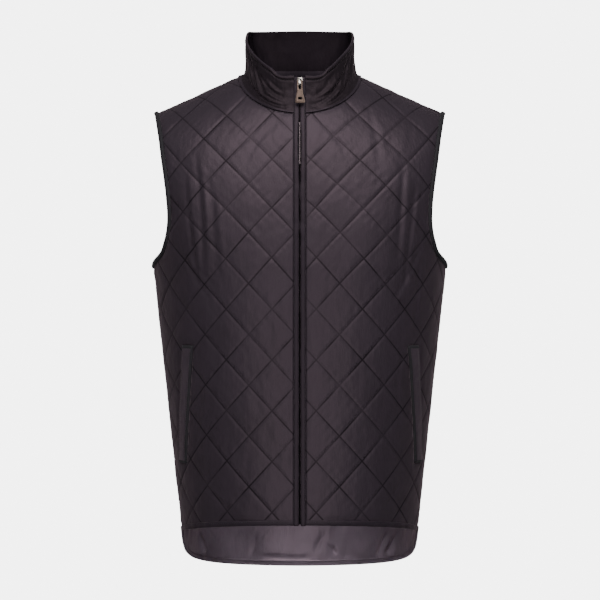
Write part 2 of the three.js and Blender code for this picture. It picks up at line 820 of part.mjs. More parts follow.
// The pull tab, in a frame with its origin on the hinge, +Y up and +Z out.
function pullTab() {
  const top = tab.bar / 2;
  const bottom = top - tab.length;
  const side = [
    new THREE.Vector2(tab.bottomWidth / 2 - tab.lowCorner, bottom),
    new THREE.Vector2(tab.bottomWidth / 2, bottom + tab.lowCorner),
    new THREE.Vector2(tab.neckWidth / 2, top - tab.neckDrop),
    new THREE.Vector2(tab.topWidth / 2, top - tab.topCorner),
    new THREE.Vector2(tab.topWidth / 2 - tab.topCorner, top),
  ];
  const shape = new THREE.Shape([...side, ...flipped(side).reverse()]);
  const eye = new THREE.Path();
  const eyeHalf = tab.eyeWidth / 2;
  const eyeLow = top - tab.bar - tab.eyeLength + eyeHalf;
  eye.moveTo(eyeHalf, top - tab.bar);
  eye.lineTo(eyeHalf, eyeLow);
  eye.absarc(0, eyeLow, eyeHalf, 0, -Math.PI, true);
  eye.lineTo(-eyeHalf, top - tab.bar);
  eye.closePath();
  const slotLow = bottom + tab.slotUp;
  const slotSide = [
    new THREE.Vector2(tab.slotWidth / 2, slotLow),
    new THREE.Vector2(tab.slotWidth / 2, slotLow + tab.slotHeight),
  ];
  shape.holes.push(eye, new THREE.Path([...slotSide, ...flipped(slotSide).reverse()]));
  const settings = { depth: tab.thick, bevelEnabled: false, curveSegments: 6 };
  const plate = new THREE.ExtrudeGeometry(shape, settings);
  return toGeometry(toSolid(plate.translate(0, 0, -tab.thick / 2)));
}

const vest = new THREE.Group();

function add(name, geometry, material, parent = vest) {
  const mesh = new THREE.Mesh(geometry, material);
  mesh.name = name;
  parent.add(mesh);
  return mesh;
}

const leftOutline = frontHalf;
const rightOutline = flipped(frontHalf).reverse();
const leftSlot = weltOutline("left", SEAM_GAP);
const rightSlot = flipped(weltOutline("right", SEAM_GAP)).reverse();
add("front_left", quiltedPanel("front_left", faces.front, leftOutline, [leftSlot]), shell);
add("front_right", quiltedPanel("front_right", faces.front, rightOutline, [rightSlot]), shell);
const yokeSeam = flatPlace(faces.back, 0, form.yokeHeight).y;
const backBody = cutAt(backOutline, yokeSeam - SEAM_GAP / 2, -1);
const backYoke = cutAt(backOutline, yokeSeam + SEAM_GAP / 2, 1);
add("back", quiltedPanel("back", faces.back, backBody, []), shell);
add("back_yoke", quiltedPanel("back_yoke", faces.back, backYoke, []), shell);
add("collar", collarWall(), plain);
add("pocket_welt_left", pocketWelt("left", 1), plain);
add("pocket_welt_right", pocketWelt("right", -1), plain);
add("armhole_binding_left", armholeBinding(1), binding);
add("armhole_binding_right", armholeBinding(-1), binding);

const hemEdge = insetAcross(frontHem(panelEdge));
add("hem_band_left", hemBand(faces.front, hemEdge, 1), plain);
add("hem_band_right", hemBand(faces.front, flipped(hemEdge), -1), plain);
const tailEdge = tailHem().slice(0, -1);
add("hem_band_back", hemBand(faces.back, [...flipped(tailEdge).reverse(), ...tailEdge.slice(1)], 1), plain);

const stripRun = centreFront(zip.stripBelow, 0);
add("zip_strip_left", zipRun(stripRun, zip.stripInner, zip.stripOuter, 0, zip.stripThick), plain);
add("zip_strip_right", zipRun(stripRun, -zip.stripOuter, -zip.stripInner, 0, zip.stripThick), plain);
const chainRun = centreFront(zip.chainBelow, zip.topDrop);
add("zip_chain", zipRun(chainRun, -zip.chainHalf, zip.chainHalf, SEAM_GAP, zip.chainThick), chainMetal);

// The slider stands at the top of the chain, with its frame turned to the cloth there.
const [underSeat, overSeat] = stripRun.slice(-2).map((row) => row.point);
const zipUp = overSeat.clone().sub(underSeat).normalize();
const pullGroup = new THREE.Group();
pullGroup.position.copy(underSeat).lerp(overSeat, slider.seatShare);
pullGroup.rotation.x = Math.atan2(zipUp.z, zipUp.y);
vest.add(pullGroup);
add("slider", sliderBody(), metal, pullGroup);
const tabMesh = add("pull_tab", pullTab(), metal, pullGroup);
tabMesh.position.z = hingeOut;
tabMesh.rotation.x = -THREE.MathUtils.degToRad(tab.restDegrees);

export default vest;
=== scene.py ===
"""Builds a man's quilted vest in its worn form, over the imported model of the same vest."""

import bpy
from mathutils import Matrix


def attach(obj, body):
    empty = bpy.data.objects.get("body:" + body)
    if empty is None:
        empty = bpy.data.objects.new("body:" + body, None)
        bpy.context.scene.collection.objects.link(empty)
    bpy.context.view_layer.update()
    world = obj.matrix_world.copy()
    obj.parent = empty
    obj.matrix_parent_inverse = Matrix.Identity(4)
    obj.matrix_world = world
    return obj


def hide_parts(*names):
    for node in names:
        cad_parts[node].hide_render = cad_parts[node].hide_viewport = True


bl_info = {
    "name": "Quilted Vest",
    "version": (1, 0, 0),
    "blender": (4, 5, 0),
    "location": "3D View > Sidebar > Vest",
    "description": "Builds the cloth, zip and trimmings of a diamond-quilted vest",
    "category": "Add Mesh",
}

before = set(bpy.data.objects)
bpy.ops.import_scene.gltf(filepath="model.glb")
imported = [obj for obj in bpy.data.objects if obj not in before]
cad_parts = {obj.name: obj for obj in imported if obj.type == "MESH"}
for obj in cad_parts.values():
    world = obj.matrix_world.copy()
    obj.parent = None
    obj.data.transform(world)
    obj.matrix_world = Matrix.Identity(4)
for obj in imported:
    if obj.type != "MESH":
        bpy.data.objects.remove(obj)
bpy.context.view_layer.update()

from types import SimpleNamespace as Sizes

import bmesh
import bpy
import numpy as np
from bpy.props import FloatProperty, FloatVectorProperty, PointerProperty
from mathutils import Vector

MM = 0.001
# How far neighbouring cloths lap, in millimetres, so that no light shows through a seam.
SEAM_LAP = 0.4
# The length of one straight piece of a panel's outline, in millimetres.
OUTLINE_STEP = 4

# Sizes of the form in millimetres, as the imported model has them.
form = Sizes(
    underarm_height=-297,
    front_hem_height=-685,
    back_side_height=-692.5,
    front_hem_rise=23,
    tail_drop=63.5,
    shoulder_tip_out=212,
    shoulder_tip_height=-66,
    shoulder_slope=0.415,
    shoulder_hollow=0.0004,
    crest_round=40,
    neck_out=90,
    front_neck_height=-74,
    back_neck_height=-6,
)
# Level sections of the form. Their front and back numbers say how squarely the cloth bends there.
hem_section = Sizes(height=-685, half_width=175, front=1.45, back=1.3)
underarm_section = Sizes(height=-297, half_width=217, front=1.8, back=1.65)
shoulder_section = Sizes(half_width=262, front=2.6, back=2.4)
# Heights down the armholes' edges, and how far out the edges lie at each of them.
armhole_heights = [-84, -110, -140, -170, -198, -222, -243, -262, -280]
armhole_out = {
    "front": [206, 201, 196.5, 192, 188.5, 187, 188.5, 193, 201],
    "back": [207.5, 204.5, 202, 199.5, 197.5, 196.5, 197, 199.5, 204],
}
armhole_floor = Sizes(inward=22, up=2.5)
# One repeat of the diamond quilting, and the flat place on each panel where a repeat starts.
quilt = Sizes(across=66.8, down=73)
quilt_start = {"front_left": (23.5, 12), "front_right": (-39.8, 12), "back": (0, 12)}
# The strips' outer edges, how far strips and chain go below the hem, and the chain's end at the top.
zip_sizes = Sizes(strip_outer=8.7, strip_below=7, chain_below=5, top_drop=1.5)
panel_edge = zip_sizes.strip_outer - SEAM_LAP
welt = Sizes(width=22, top_height=-411, bottom_height=-584)
welt_out = {"left": (164, 172), "right": (161.5, 169.5)}
# The collar, with its rim as an oval, the stitched roll along its top edge, the dip of the rim beside
# the zip, and how far each side of it rises and leans in. The wearer's left is 1, their right -1.
collar = Sizes(
    front_top=-20,
    back_top=65,
    climb=np.radians(126),
    late_climb=0.1,
    top_out=78,
    top_front=84,
    top_back=60,
    root_reach=26,
    rise=62,
    turned_at=0.45,
    back_square=3.2,
    side_rise={1: 4.5, -1: 1.0},
    side_waist={1: 5.0, -1: 7.0},
    cloth=3.6,
    edge_round=1.8,
    stitch_below=5.5,
    groove_half=1.2,
    groove_depth=0.9,
    roll_below=2.2,
    roll_half=1.8,
    roll_height=0.8,
    dip=5.0,
    dip_stretch=(6, 28, 31, 42),
    rise_out=(40, 62),
    rise_fades=(1.5, 2.1),
    waist_stretch=(0, 0.2, 0.3, 0.9),
    gather=0.9,
    tape_height=10,
    piping=2.4,
)


def mix(low, high, share):
    return low + (high - low) * share


def smooth_step(value, low, high):
    """Rises from 0 at low to 1 at high and sets off and ends level."""
    share = np.clip((value - low) / (high - low), 0, 1)
    return share * share * (3 - 2 * share)


def stretch(value, start, full, fading, end):
    """Rises from 0 at start to 1 at full, and falls again from fading to 0 at the end."""
    return smooth_step(value, start, full) * (1 - smooth_step(value, fading, end))


def bell(value, middle, width, power=2):
    """A hump of height 1: e to the power of less the distance from its middle, to a power."""
    return np.exp(-(((value - middle) / width) ** power))


def unit(vectors):
    return vectors / np.maximum(np.linalg.norm(vectors, axis=-1, keepdims=True), 1e-12)


def length_along(points):
    """Length from the first of a run of points to each of them."""
    return np.append(0, np.cumsum(np.linalg.norm(np.diff(points, axis=0), axis=1)))


def soft_noise(across, up, cell, seed):
    """Random heights from -1 to 1 on a lattice of cells, joined by smooth steps."""
    lattice = np.random.default_rng(seed).uniform(-1, 1, (256, 256))
    column, row = np.floor(across / cell).astype(int), np.floor(up / cell).astype(int)
    right = smooth_step(across / cell - column, 0, 1)
    above = smooth_step(up / cell - row, 0, 1)
    corner = [[lattice[(row + j) % 256, (column + i) % 256] for i in (0, 1)] for j in (0, 1)]
    return mix(mix(*corner[0], right), mix(*corner[1], right), above)


def line_noise(length, cell, seed):
    """The same along a line."""
    return soft_noise(length, np.zeros_like(length), cell, seed)


def quarter_arc(share, turn):
    """Where an arc along a quarter section ends, as shares of the quarter's length.

    The heading turns from straight across to straight back as share to the power turn, and
    Simpson's rule adds up its cosine and its sine over an even count of steps.
    """
    share, turn = np.broadcast_arrays(np.asarray(share, float), np.asarray(turn, float))
    count = 16
    steps = np.arange(count + 1)
    weight = np.where(steps % 2, 4.0, 2.0)
    weight[[0, -1]] = 1
    heading = np.pi / 2 * (share[..., None] * steps / count) ** turn[..., None]
    scale = share / (3 * count)
    return (weight * np.cos(heading)).sum(-1) * scale, (weight * np.sin(heading)).sum(-1) * scale


def crest_height(x):
    """The shoulder's crest: a line and a slight hollow in from the tip, rounded at the middle."""
    inward = np.hypot(form.shoulder_tip_out, form.crest_round) - np.hypot(x, form.crest_round)
    slope = form.shoulder_slope * inward + form.shoulder_hollow * inward**2
    return form.shoulder_tip_height + slope


class Face:
    """One face of the worn form, kept as a table of points over the flat cloth.

    A flat place is (across, up): across from the centre, up from the level of the underarms. The
    table goes a little past the crest of the shoulders, so that a seam on it can be read.
    """

    past_crest = 0.2
    # The table's pitch and its reach across, down and up, in millimetres.
    pitch = 2.0
    reach = 330.0
    lowest = -470.0
    highest = 344.0

    def __init__(self, name, facing, fullness):
        self.name, self.facing, self.fullness = name, facing, fullness
        across = np.arange(0, self.reach + self.pitch, self.pitch)
        ups = np.arange(self.lowest, self.highest + self.pitch, self.pitch)
        low, high = ups[ups <= 0], ups[ups > 0]
        below = self.below_point(across[None], low[:, None])
        leans = np.linspace(0, np.pi / 2 + self.past_crest, 200)
        steep = self.above_point(across[None], leans[:, None])
        steps = np.linalg.norm(np.diff(steep, axis=0), axis=-1)
        length = np.vstack([np.zeros(len(across)), np.cumsum(steps, axis=0)])
        above = np.stack([self.even_column(high, length, steep, i) for i in range(len(across))], axis=1)
        self.points = np.concatenate([below, above])
        along, upward = np.gradient(self.points, axis=1), np.gradient(self.points, axis=0)
        self.normals = unit(np.cross(along, upward))
        self.across, self.leans, self.length = across, leans, length

    @staticmethod
    def even_column(ups, length, steep, i):
        return np.stack([np.interp(ups, length[:, i], steep[:, i, axis]) for axis in range(3)], axis=-1)

    def section_size(self, low, high, share):
        turn = mix(getattr(low, self.name), getattr(high, self.name), share)
        whole_across, whole_back = quarter_arc(np.ones_like(turn), turn)
        length = mix(low.half_width, high.half_width, share) / whole_across
        return turn, length, whole_back * length

    def along_section(self, low, high, share, across):
        """The point across a level section, and its depth. Past the side it goes straight back."""
        turn, length, depth = self.section_size(low, high, share)
        inside = np.minimum(across, length)
        x, back = quarter_arc(inside / length, turn)
        return x * length, depth - back * length - (across - inside)

    def height_share(self, height):
        return (height - hem_section.height) / (underarm_section.height - hem_section.height)

    def below_point(self, across, up):
        height = form.underarm_height + up
        share = self.height_share(height)
        x, depth = self.along_section(hem_section, underarm_section, share, across)
        return np.stack(np.broadcast_arrays(x, -depth, height), axis=-1)

    def column_top(self, across):
        return crest_height(self.along_section(underarm_section, shoulder_section, np.float64(1), across)[0])

    def above_point(self, across, lean):
        """A point above the underarm. The lean runs from 0 there to a right angle on the crest."""
        climb = np.minimum(np.sin(lean), 1)
        x, depth = self.along_section(underarm_section, shoulder_section, climb, across)
        nearness = np.sign(np.cos(lean)) * np.sqrt(np.maximum(0, 1 - climb**self.fullness))
        height = mix(form.underarm_height, self.column_top(across), climb)
        return np.stack(np.broadcast_arrays(x, -depth * nearness, height), axis=-1)

    def read(self, across, up):
        """Points and directions out, mixed between the four nearest places of the table."""
        across, up = np.broadcast_arrays(np.asarray(across, float), np.asarray(up, float))
        # The last place read falls just short of the table's edge, so that it has a neighbour.
        rows, columns = np.array(self.points.shape[:2]) - 1.001
        column = np.clip(np.abs(across) / self.pitch, 0, columns)
        row = np.clip((up - self.lowest) / self.pitch, 0, rows)
        i, j = column.astype(int), row.astype(int)
        right, above = (column - i)[..., None], (row - j)[..., None]
        side = np.where(across < 0, -1.0, 1.0)
        turned = np.stack([side * self.facing, np.full_like(side, self.facing), np.ones_like(side)], axis=-1)

        def between(table):
            low = mix(table[j, i], table[j, i + 1], right)
            high = mix(table[j + 1, i], table[j + 1, i + 1], right)
            return mix(low, high, above) * turned

        return between(self.points), unit(between(self.normals))

    def hang(self, across, up, out=0.0):
        points, normals = self.read(across, up)
        return points + normals * np.asarray(out)[..., None]

    def flat_place(self, x, height):
        """The flat place of points at x and a height, found by halving the way across.

        34 halvings bring the reach of 330 mm well below a millionth of a millimetre.
        """
        x, height = np.broadcast_arrays(np.asarray(x, float), np.asarray(height, float))
        up = height - form.underarm_height
        low, high = np.zeros_like(x), np.full_like(x, self.reach)
        for _ in range(34):
            middle = (low + high) / 2
            climb = up / (self.column_top(middle) - form.underarm_height)
            under = self.along_section(hem_section, underarm_section, self.height_share(height), middle)[0]
            over = self.along_section(underarm_section, shoulder_section, np.clip(climb, 0, 1), middle)[0]
            short = np.where(up > 0, over, under) < x
            low, high = np.where(short, middle, low), np.where(short, high, middle)
        lean = np.arcsin(np.clip(up / (self.column_top(low) - form.underarm_height), 0, 1))
        return np.stack([low, np.where(up > 0, self.length_at(low, lean), up)], axis=-1)

    def length_at(self, across, lean):
        """Length up the cloth at a lean, for columns anywhere across."""
        row = lean / self.leans[1]
        column = np.asarray(across) / self.pitch
        i, j = column.astype(int), np.minimum(row.astype(int), len(self.leans) - 2)
        low = mix(self.length[j, i], self.length[j, i + 1], column - i)
        high = mix(self.length[j + 1, i], self.length[j + 1, i + 1], column - i)
        return mix(low, high, row - j)


front = Face("front", 1, 2.5)
back = Face("back", -1, 3.0)


def even_run(places, step):
    """Points at even steps along a run of straight pieces."""
    length = length_along(places)
    at = np.linspace(0, length[-1], max(2, round(length[-1] / step) + 1))
    return np.stack([np.interp(at, length, column) for column in places.T], axis=-1)


def smooth_run(places, step):
    """A curve through the places, whose heading at each is that of the line past its neighbours."""
    places = np.asarray(places, float)
    wide = np.vstack([places[:1], places, places[-1:]])
    at = np.linspace(0, len(places) - 1, 40 * len(places))
    i = np.minimum(at.astype(int), len(places) - 2)
    t = (at - i)[:, None]
    a, b, c, d = (wide[i + k] for k in range(4))
    slopes = (c - a) * t + (2 * a - 5 * b + 4 * c - d) * t**2 + (3 * b - a - 3 * c + d) * t**3
    return even_run(b + slopes / 2, step)


def shoulder_edge(face):
    tip = face.flat_place(form.shoulder_tip_out, form.shoulder_tip_height)
    neck = face.flat_place(form.neck_out, crest_height(form.neck_out))
    across = np.linspace(tip[0], neck[0], 40)
    return np.stack([across, face.length_at(across, np.full(40, np.pi / 2))], axis=-1)


def armhole_edge(face, step=OUTLINE_STEP):
    rows = face.flat_place(armhole_out[face.name][::-1], armhole_heights[::-1])
    bottom = np.array([face.section_size(hem_section, underarm_section, np.float64(1))[1], 0])
    floor = bottom + [-armhole_floor.inward, armhole_floor.up]
    return smooth_run([bottom, floor, *rows, shoulder_edge(face)[0]], step)


def neck_places(face, angles, centre_height):
    """Flat places of the neck seam, by the angle from the centre of its face."""
    height = mix(crest_height(form.neck_out), centre_height, np.cos(angles))
    return face.flat_place(form.neck_out * np.sin(angles), height)


def neck_edge(face, centre_height, innermost):
    angles = np.linspace(np.pi / 2, np.arcsin(innermost / form.neck_out), 50)
    return neck_places(face, angles, centre_height)


def side_edge(face, bottom_height):
    heights = np.linspace(bottom_height, form.underarm_height, 60)
    length = face.section_size(hem_section, underarm_section, face.height_share(heights))[1]
    return np.stack([length, heights - form.underarm_height], axis=-1)


def front_hem(innermost, count=90):
    """The fronts' hem lies in a plane that rises towards the centre front."""
    share = front.height_share(form.front_hem_height)
    _, length, deepest = front.section_size(hem_section, underarm_section, np.float64(share))
    across = np.linspace(innermost, length, count)
    depth = front.along_section(hem_section, underarm_section, np.float64(share), across)[1]
    up = form.front_hem_height + form.front_hem_rise * depth / deepest - form.underarm_height
    return np.stack([across, up], axis=-1)


def tail_hem(count=100):
    """The back's tail, an ellipse's quarter from the centre back to the side seam."""
    angle = np.linspace(0, np.pi / 2, count)
    height = form.back_side_height - form.tail_drop * np.cos(angle)
    length = back.section_size(hem_section, underarm_section, back.height_share(height))[1]
    return np.stack([length * np.sin(angle), height - form.underarm_height], axis=-1)


def flipped(places):
    return places * [-1, 1]


def front_outline():
    lap = [SEAM_LAP / 2, 0]
    return np.vstack(
        [
            front_hem(panel_edge)[:-1],
            side_edge(front, form.front_hem_height)[:-1] + lap,
            armhole_edge(front)[:-1],
            shoulder_edge(front)[:-1] + lap[::-1],
            neck_edge(front, form.front_neck_height, panel_edge),
        ]
    )


def back_outline():
    lap = [SEAM_LAP / 2, 0]
    half = np.vstack(
        [
            tail_hem()[1:-1],
            side_edge(back, form.back_side_height)[:-1] + lap,
            armhole_edge(back)[:-1],
            shoulder_edge(back)[:-1] + lap[::-1],
            neck_edge(back, form.back_neck_height, 0)[:-1],
        ]
    )
    neck_middle = neck_edge(back, form.back_neck_height, 0)[-1:]
    return np.vstack([tail_hem()[:1], half, neck_middle, flipped(half)[::-1]])


def welt_corners(side, growth=0.0):
    """Flat corners of a pocket welt: low inner, low outer, high outer, high inner."""
    top, bottom = front.flat_place(welt_out[side], [welt.top_height, welt.bottom_height])
    half = welt.width / 2 + growth
    return np.array(
        [
            [bottom[0] - half, bottom[1] - growth],
            [bottom[0] + half, bottom[1] - growth],
            [top[0] + half, top[1] + growth],
            [top[0] - half, top[1] + growth],
        ]
    )


def is_within(outline, places):
    """Whether a line from each place to the right crosses the outline an odd number of times."""
    x, y = places[..., 0], places[..., 1]
    inside = np.zeros(x.shape, bool)
    for start, end in zip(outline, np.roll(outline, -1, axis=0)):
        if start[1] == end[1]:
            continue
        crosses = (start[1] > y) != (end[1] > y)
        inside ^= crosses & (x < mix(start[0], end[0], (y - start[1]) / (end[1] - start[1])))
    return inside


def nearest_on_run(run, places, closed=True):
    """Distance to a run of straight pieces, the nearest point on it and the share of the way."""
    ends = np.roll(run, -1, axis=0) if closed else run[1:]
    best = np.full(places.shape[:-1], np.inf)
    point, share = np.zeros_like(places), np.zeros(places.shape[:-1])
    for i, (start, end) in enumerate(zip(run, ends)):
        along = end - start
        part = np.clip((places - start) @ along / max(along @ along, 1e-9), 0, 1)
        here = start + part[..., None] * along
        distance = np.linalg.norm(places - here, axis=-1)
        closer = distance < best
        best = np.where(closer, distance, best)
        point = np.where(closer[..., None], here, point)
        share = np.where(closer, (i + part) / len(ends), share)
    return best, point, share


def cloth_grid(outlines, start, cells):
    """Cells of a level grid within a panel's outline and outside its slots.

    The grid has so many cells to one repeat of the quilting, so its seams run through grid points.
    The outermost points are moved onto the outline. Returns places, cells and the rim's edges.
    """
    pitch = np.array([quilt.across, quilt.down]) / cells
    low = np.floor((outlines[0].min(0) - start) / pitch).astype(int) - 1
    high = np.ceil((outlines[0].max(0) - start) / pitch).astype(int) + 1
    columns, rows = (np.arange(low[k], high[k] + 1) * pitch[k] + start[k] for k in (0, 1))
    places = np.stack(np.meshgrid(columns, rows), axis=-1)
    middles = (places[:-1, :-1] + places[1:, 1:]) / 2
    kept = is_within(outlines[0], middles)
    for slot in outlines[1:]:
        kept &= ~is_within(slot, middles)
    number = np.arange(places[..., 0].size).reshape(places.shape[:2])
    corners = [number[:-1, :-1], number[:-1, 1:], number[1:, 1:], number[1:, :-1]]
    quads = np.stack(corners, axis=-1)[kept]
    padded = np.pad(kept, 1)
    beyond = [padded[:-2, 1:-1], padded[1:-1, 2:], padded[2:, 1:-1], padded[1:-1, :-2]]
    rim = np.vstack(
        [
            np.stack([corners[k], corners[(k + 1) % 4]], axis=-1)[kept & ~beyond[k]]
            for k in range(4)
        ]
    )
    used, renumbered = np.unique(quads, return_inverse=True)
    places = places.reshape(-1, 2)[used]
    order = np.zeros(number.size, int)
    order[used] = np.arange(len(used))
    rim = order[rim]
    edge = np.unique(rim)
    choices = [nearest_on_run(outline, places[edge])[:2] for outline in outlines]
    nearest = np.argmin([distance for distance, _ in choices], axis=0)
    places[edge] = np.stack([point for _, point in choices])[nearest, np.arange(len(edge))]
    return places, renumbered.reshape(-1, 4), rim


def distance_to_edges(outlines, places):
    """Distance to the nearest outline, of which every third point is near enough."""
    return np.min([nearest_on_run(outline[::3], places)[0] for outline in outlines], axis=0)


def seam_distances(places, start):
    """Distance to the nearest seam of each slant, and the length along it, in millimetres."""
    across, down = ((places - start) / [quilt.across, quilt.down]).T
    spacing = 1 / np.hypot(1 / quilt.across, 1 / quilt.down)
    length = np.hypot(quilt.across, quilt.down) / 2
    rising, falling = across - down, across + down
    return [
        (np.abs(slant - np.rint(slant)) * spacing, other * length, np.rint(slant))
        for slant, other in ((rising, falling), (falling, rising))
    ]


# How a stitched seam shapes the cloth, in millimetres: half the groove's width, how far off the
# ridge lies and half its width, where puckers set off, how far they reach and how much they drift,
# and how deep the cloth may sink under its thickness at a seam.
seam_form = Sizes(
    groove_half=1.5,
    ridge_at=3.4,
    ridge_half=1.7,
    pucker_start=2.5,
    pucker_reach=9,
    pucker_drift=9,
    deepest=0.6,
)


def quilted_lift(places, start, edge, seed, sizes):
    """Loft of the padding over the lining.

    Between seams it swells as one less a fading power of e of the distance to each seam. Beside a
    seam the cloth puckers square to it, in waves whose place and height drift along the seam, and
    wider, lower crumples run over all of it.
    """
    seams = seam_distances(places, start)
    near, near_too = seams[0][0], seams[1][0]
    nearest = np.minimum(near, near_too)
    swell = (1 - np.exp(-near / sizes.shoulder)) * (1 - np.exp(-near_too / sizes.shoulder))
    pucker = 0
    for distance, run, number in seams:
        # Neighbouring seams read the noise far apart, so that no two pucker alike.
        drift = soft_noise(run, number * 97, 30, seed) * seam_form.pucker_drift
        height = 0.55 + 0.45 * soft_noise(run, number * 61, 22, seed + 1)
        wave = np.sin(2 * np.pi * (run + drift) / sizes.pucker_length)
        fade = np.exp(-distance / seam_form.pucker_reach)
        pucker = pucker + wave * height * fade * (1 - np.exp(-distance / seam_form.pucker_start))
    # Crumples 15 mm wide and 30 mm tall, and finer ones of 7 mm, which lean.
    x, y = places.T
    crumple = soft_noise(x, y * 0.5, 15, seed + 2)
    crumple = crumple + 0.5 * soft_noise(x + y * 0.4, y * 0.6 - x * 0.3, 7, seed + 3)
    lift = sizes.loft * swell + sizes.pucker * pucker + sizes.crumple * crumple * swell
    beside = bell(nearest, seam_form.ridge_at, seam_form.ridge_half)
    lift += sizes.ridge * beside * (0.6 + 0.4 * soft_noise(x, y, 23, seed + 4))
    lift -= sizes.groove * bell(nearest, 0, seam_form.groove_half)
    return sizes.thin + np.maximum(lift, -seam_form.deepest) * smooth_step(edge, 0, sizes.edge_fade)


# Kinds of fold: on which side of its line the ridge stands, as an axis and a sign, how far off in
# half widths, how high as a share of the valley's depth, and how bluntly the fold ends.
crease_kind = Sizes(axis=0, side=1, ridge_at=1.9, ridge=0.7, blunt=0.02, fade=0.6)
tail_kind = Sizes(axis=0, side=1, ridge_at=0, ridge=0, blunt=0.04, fade=0.7)
collar_kind = Sizes(axis=1, side=-1, ridge_at=1.7, ridge=0.8, blunt=0.04, fade=0.7)


def fold_lift(places, line, width, depth, kind):
    """A soft valley along a line of places, with a low ridge on one side of it.

    Both are bells of the distance from the line. They fade towards the line's ends as half a wave
    of the share of the way, to a power below 1.
    """
    distance, nearest, share = nearest_on_run(line, places, closed=False)
    beside = (places - nearest)[..., kind.axis] * kind.side > 0
    ridge = bell(distance, kind.ridge_at * width, width) * beside
    taper = np.sin(np.pi * np.clip(share, kind.blunt, 1 - kind.blunt)) ** kind.fade
    return depth * taper * (kind.ridge * ridge - bell(distance, 0, width))


def crease_lift(places, creases):
    """Creases given one by one: each a fold along a smooth run of places."""
    folds = [fold_lift(places, smooth_run(run, 12), *sizes, crease_kind) for run, *sizes in creases]
    return sum(folds, np.zeros(len(places)))


def two_layers(quads, rim, count):
    """Faces of an outer and an inner layer over the same cells, joined round the rim."""
    edges = np.stack([rim[:, 1], rim[:, 0], rim[:, 0] + count, rim[:, 1] + count], axis=-1)
    return quads, quads[:, ::-1] + count, edges


def swept_faces(stations, corners, closed):
    """Faces between like loops of points. An open run is capped by strips across its end loops."""
    count = stations if closed else stations - 1
    j, i = np.meshgrid(np.arange(count), np.arange(corners), indexing="ij")
    after, beside = (j + 1) % stations, (i + 1) % corners
    at = [j * corners + i, after * corners + i, after * corners + beside, j * corners + beside]
    faces = [np.stack(at, axis=-1).reshape(-1, 4)]
    if not closed:
        rung = np.arange(corners // 2 - 1)
        cap = np.stack([rung, rung + 1, corners - 2 - rung, corners - 1 - rung], axis=-1)
        faces += [cap, cap[:, ::-1] + (stations - 1) * corners]
    return faces


def new_object(name, mesh):
    thing = bpy.data.objects.new(name, mesh)
    bpy.context.scene.collection.objects.link(thing)
    return thing


def new_mesh(name, points, groups, materials, uv=None):
    """Makes a mesh from millimetre points. Each group of faces takes the material in its place."""
    faces = [face for group in groups for face in group.tolist()]
    mesh = bpy.data.meshes.new(name)
    mesh.from_pydata((np.asarray(points) * MM).tolist(), [], faces)
    for material in materials:
        mesh.materials.append(material)
    last = len(materials) - 1
    looks = np.concatenate([np.full(len(group), min(i, last)) for i, group in enumerate(groups)])
    mesh.polygons.foreach_set("material_index", looks.astype(np.int32))
    mesh.polygons.foreach_set("use_smooth", np.ones(len(faces), bool))
    if uv is not None:
        corner = np.zeros(len(mesh.loops), np.int32)
        mesh.loops.foreach_get("vertex_index", corner)
        layer = mesh.uv_layers.new(name="Cloth")
        layer.data.foreach_set("uv", np.asarray(uv, np.float32)[corner].ravel())
    mesh.validate()
    mesh.update()
    return mesh


def lay_mesh(name, *shape, **cloth_map):
    """Makes such a mesh a piece of the vest."""
    piece = new_object(name, new_mesh(name, *shape, **cloth_map))
    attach(piece, "vest")
    return piece


def face_outwards(piece):
    """Turns every face of a closed piece to point out of it."""
    shape = bmesh.new()
    shape.from_mesh(piece.data)
    bmesh.ops.recalc_face_normals(shape, faces=shape.faces)
    shape.to_mesh(piece.data)
    shape.free()


def linear(hex_colour):
    """An sRGB hex colour as linear values, by the sRGB curve."""
    parts = np.array([int(hex_colour[i : i + 2], 16) for i in (1, 3, 5)]) / 255
    curve = np.where(parts <= 0.04045, parts / 12.92, ((parts + 0.055) / 1.055) ** 2.4)
    return (*curve.tolist(), 1.0)


def add_node(tree, kind, settings=None, **sockets):
    """Adds a node, sets its properties and sets or links its sockets by name, or by number as _0."""
    node = tree.nodes.new(kind)
    for name, value in (settings or {}).items():
        setattr(node, name, value)
    for name, value in sockets.items():
        key = int(name[1:]) if name[1:].isdigit() else name.replace("_", " ")
        socket = node.inputs[key]
        if isinstance(value, bpy.types.NodeSocket):
            tree.links.new(value, socket)
        else:
            socket.default_value = value
    return node


def start_material(name):
    material = bpy.data.materials.new(name)
    material.use_nodes = True
    tree = material.node_tree
    tree.nodes.clear()
    return material, tree


def finish_material(tree, **sockets):
    shader = add_node(tree, "ShaderNodeBsdfPrincipled", **sockets)
    add_node(tree, "ShaderNodeOutputMaterial", Surface=shader.outputs["BSDF"])


# The plum cast that the dyed cloth gives its gloss and its sheen.
plum_gloss = linear("#FFDEEC")


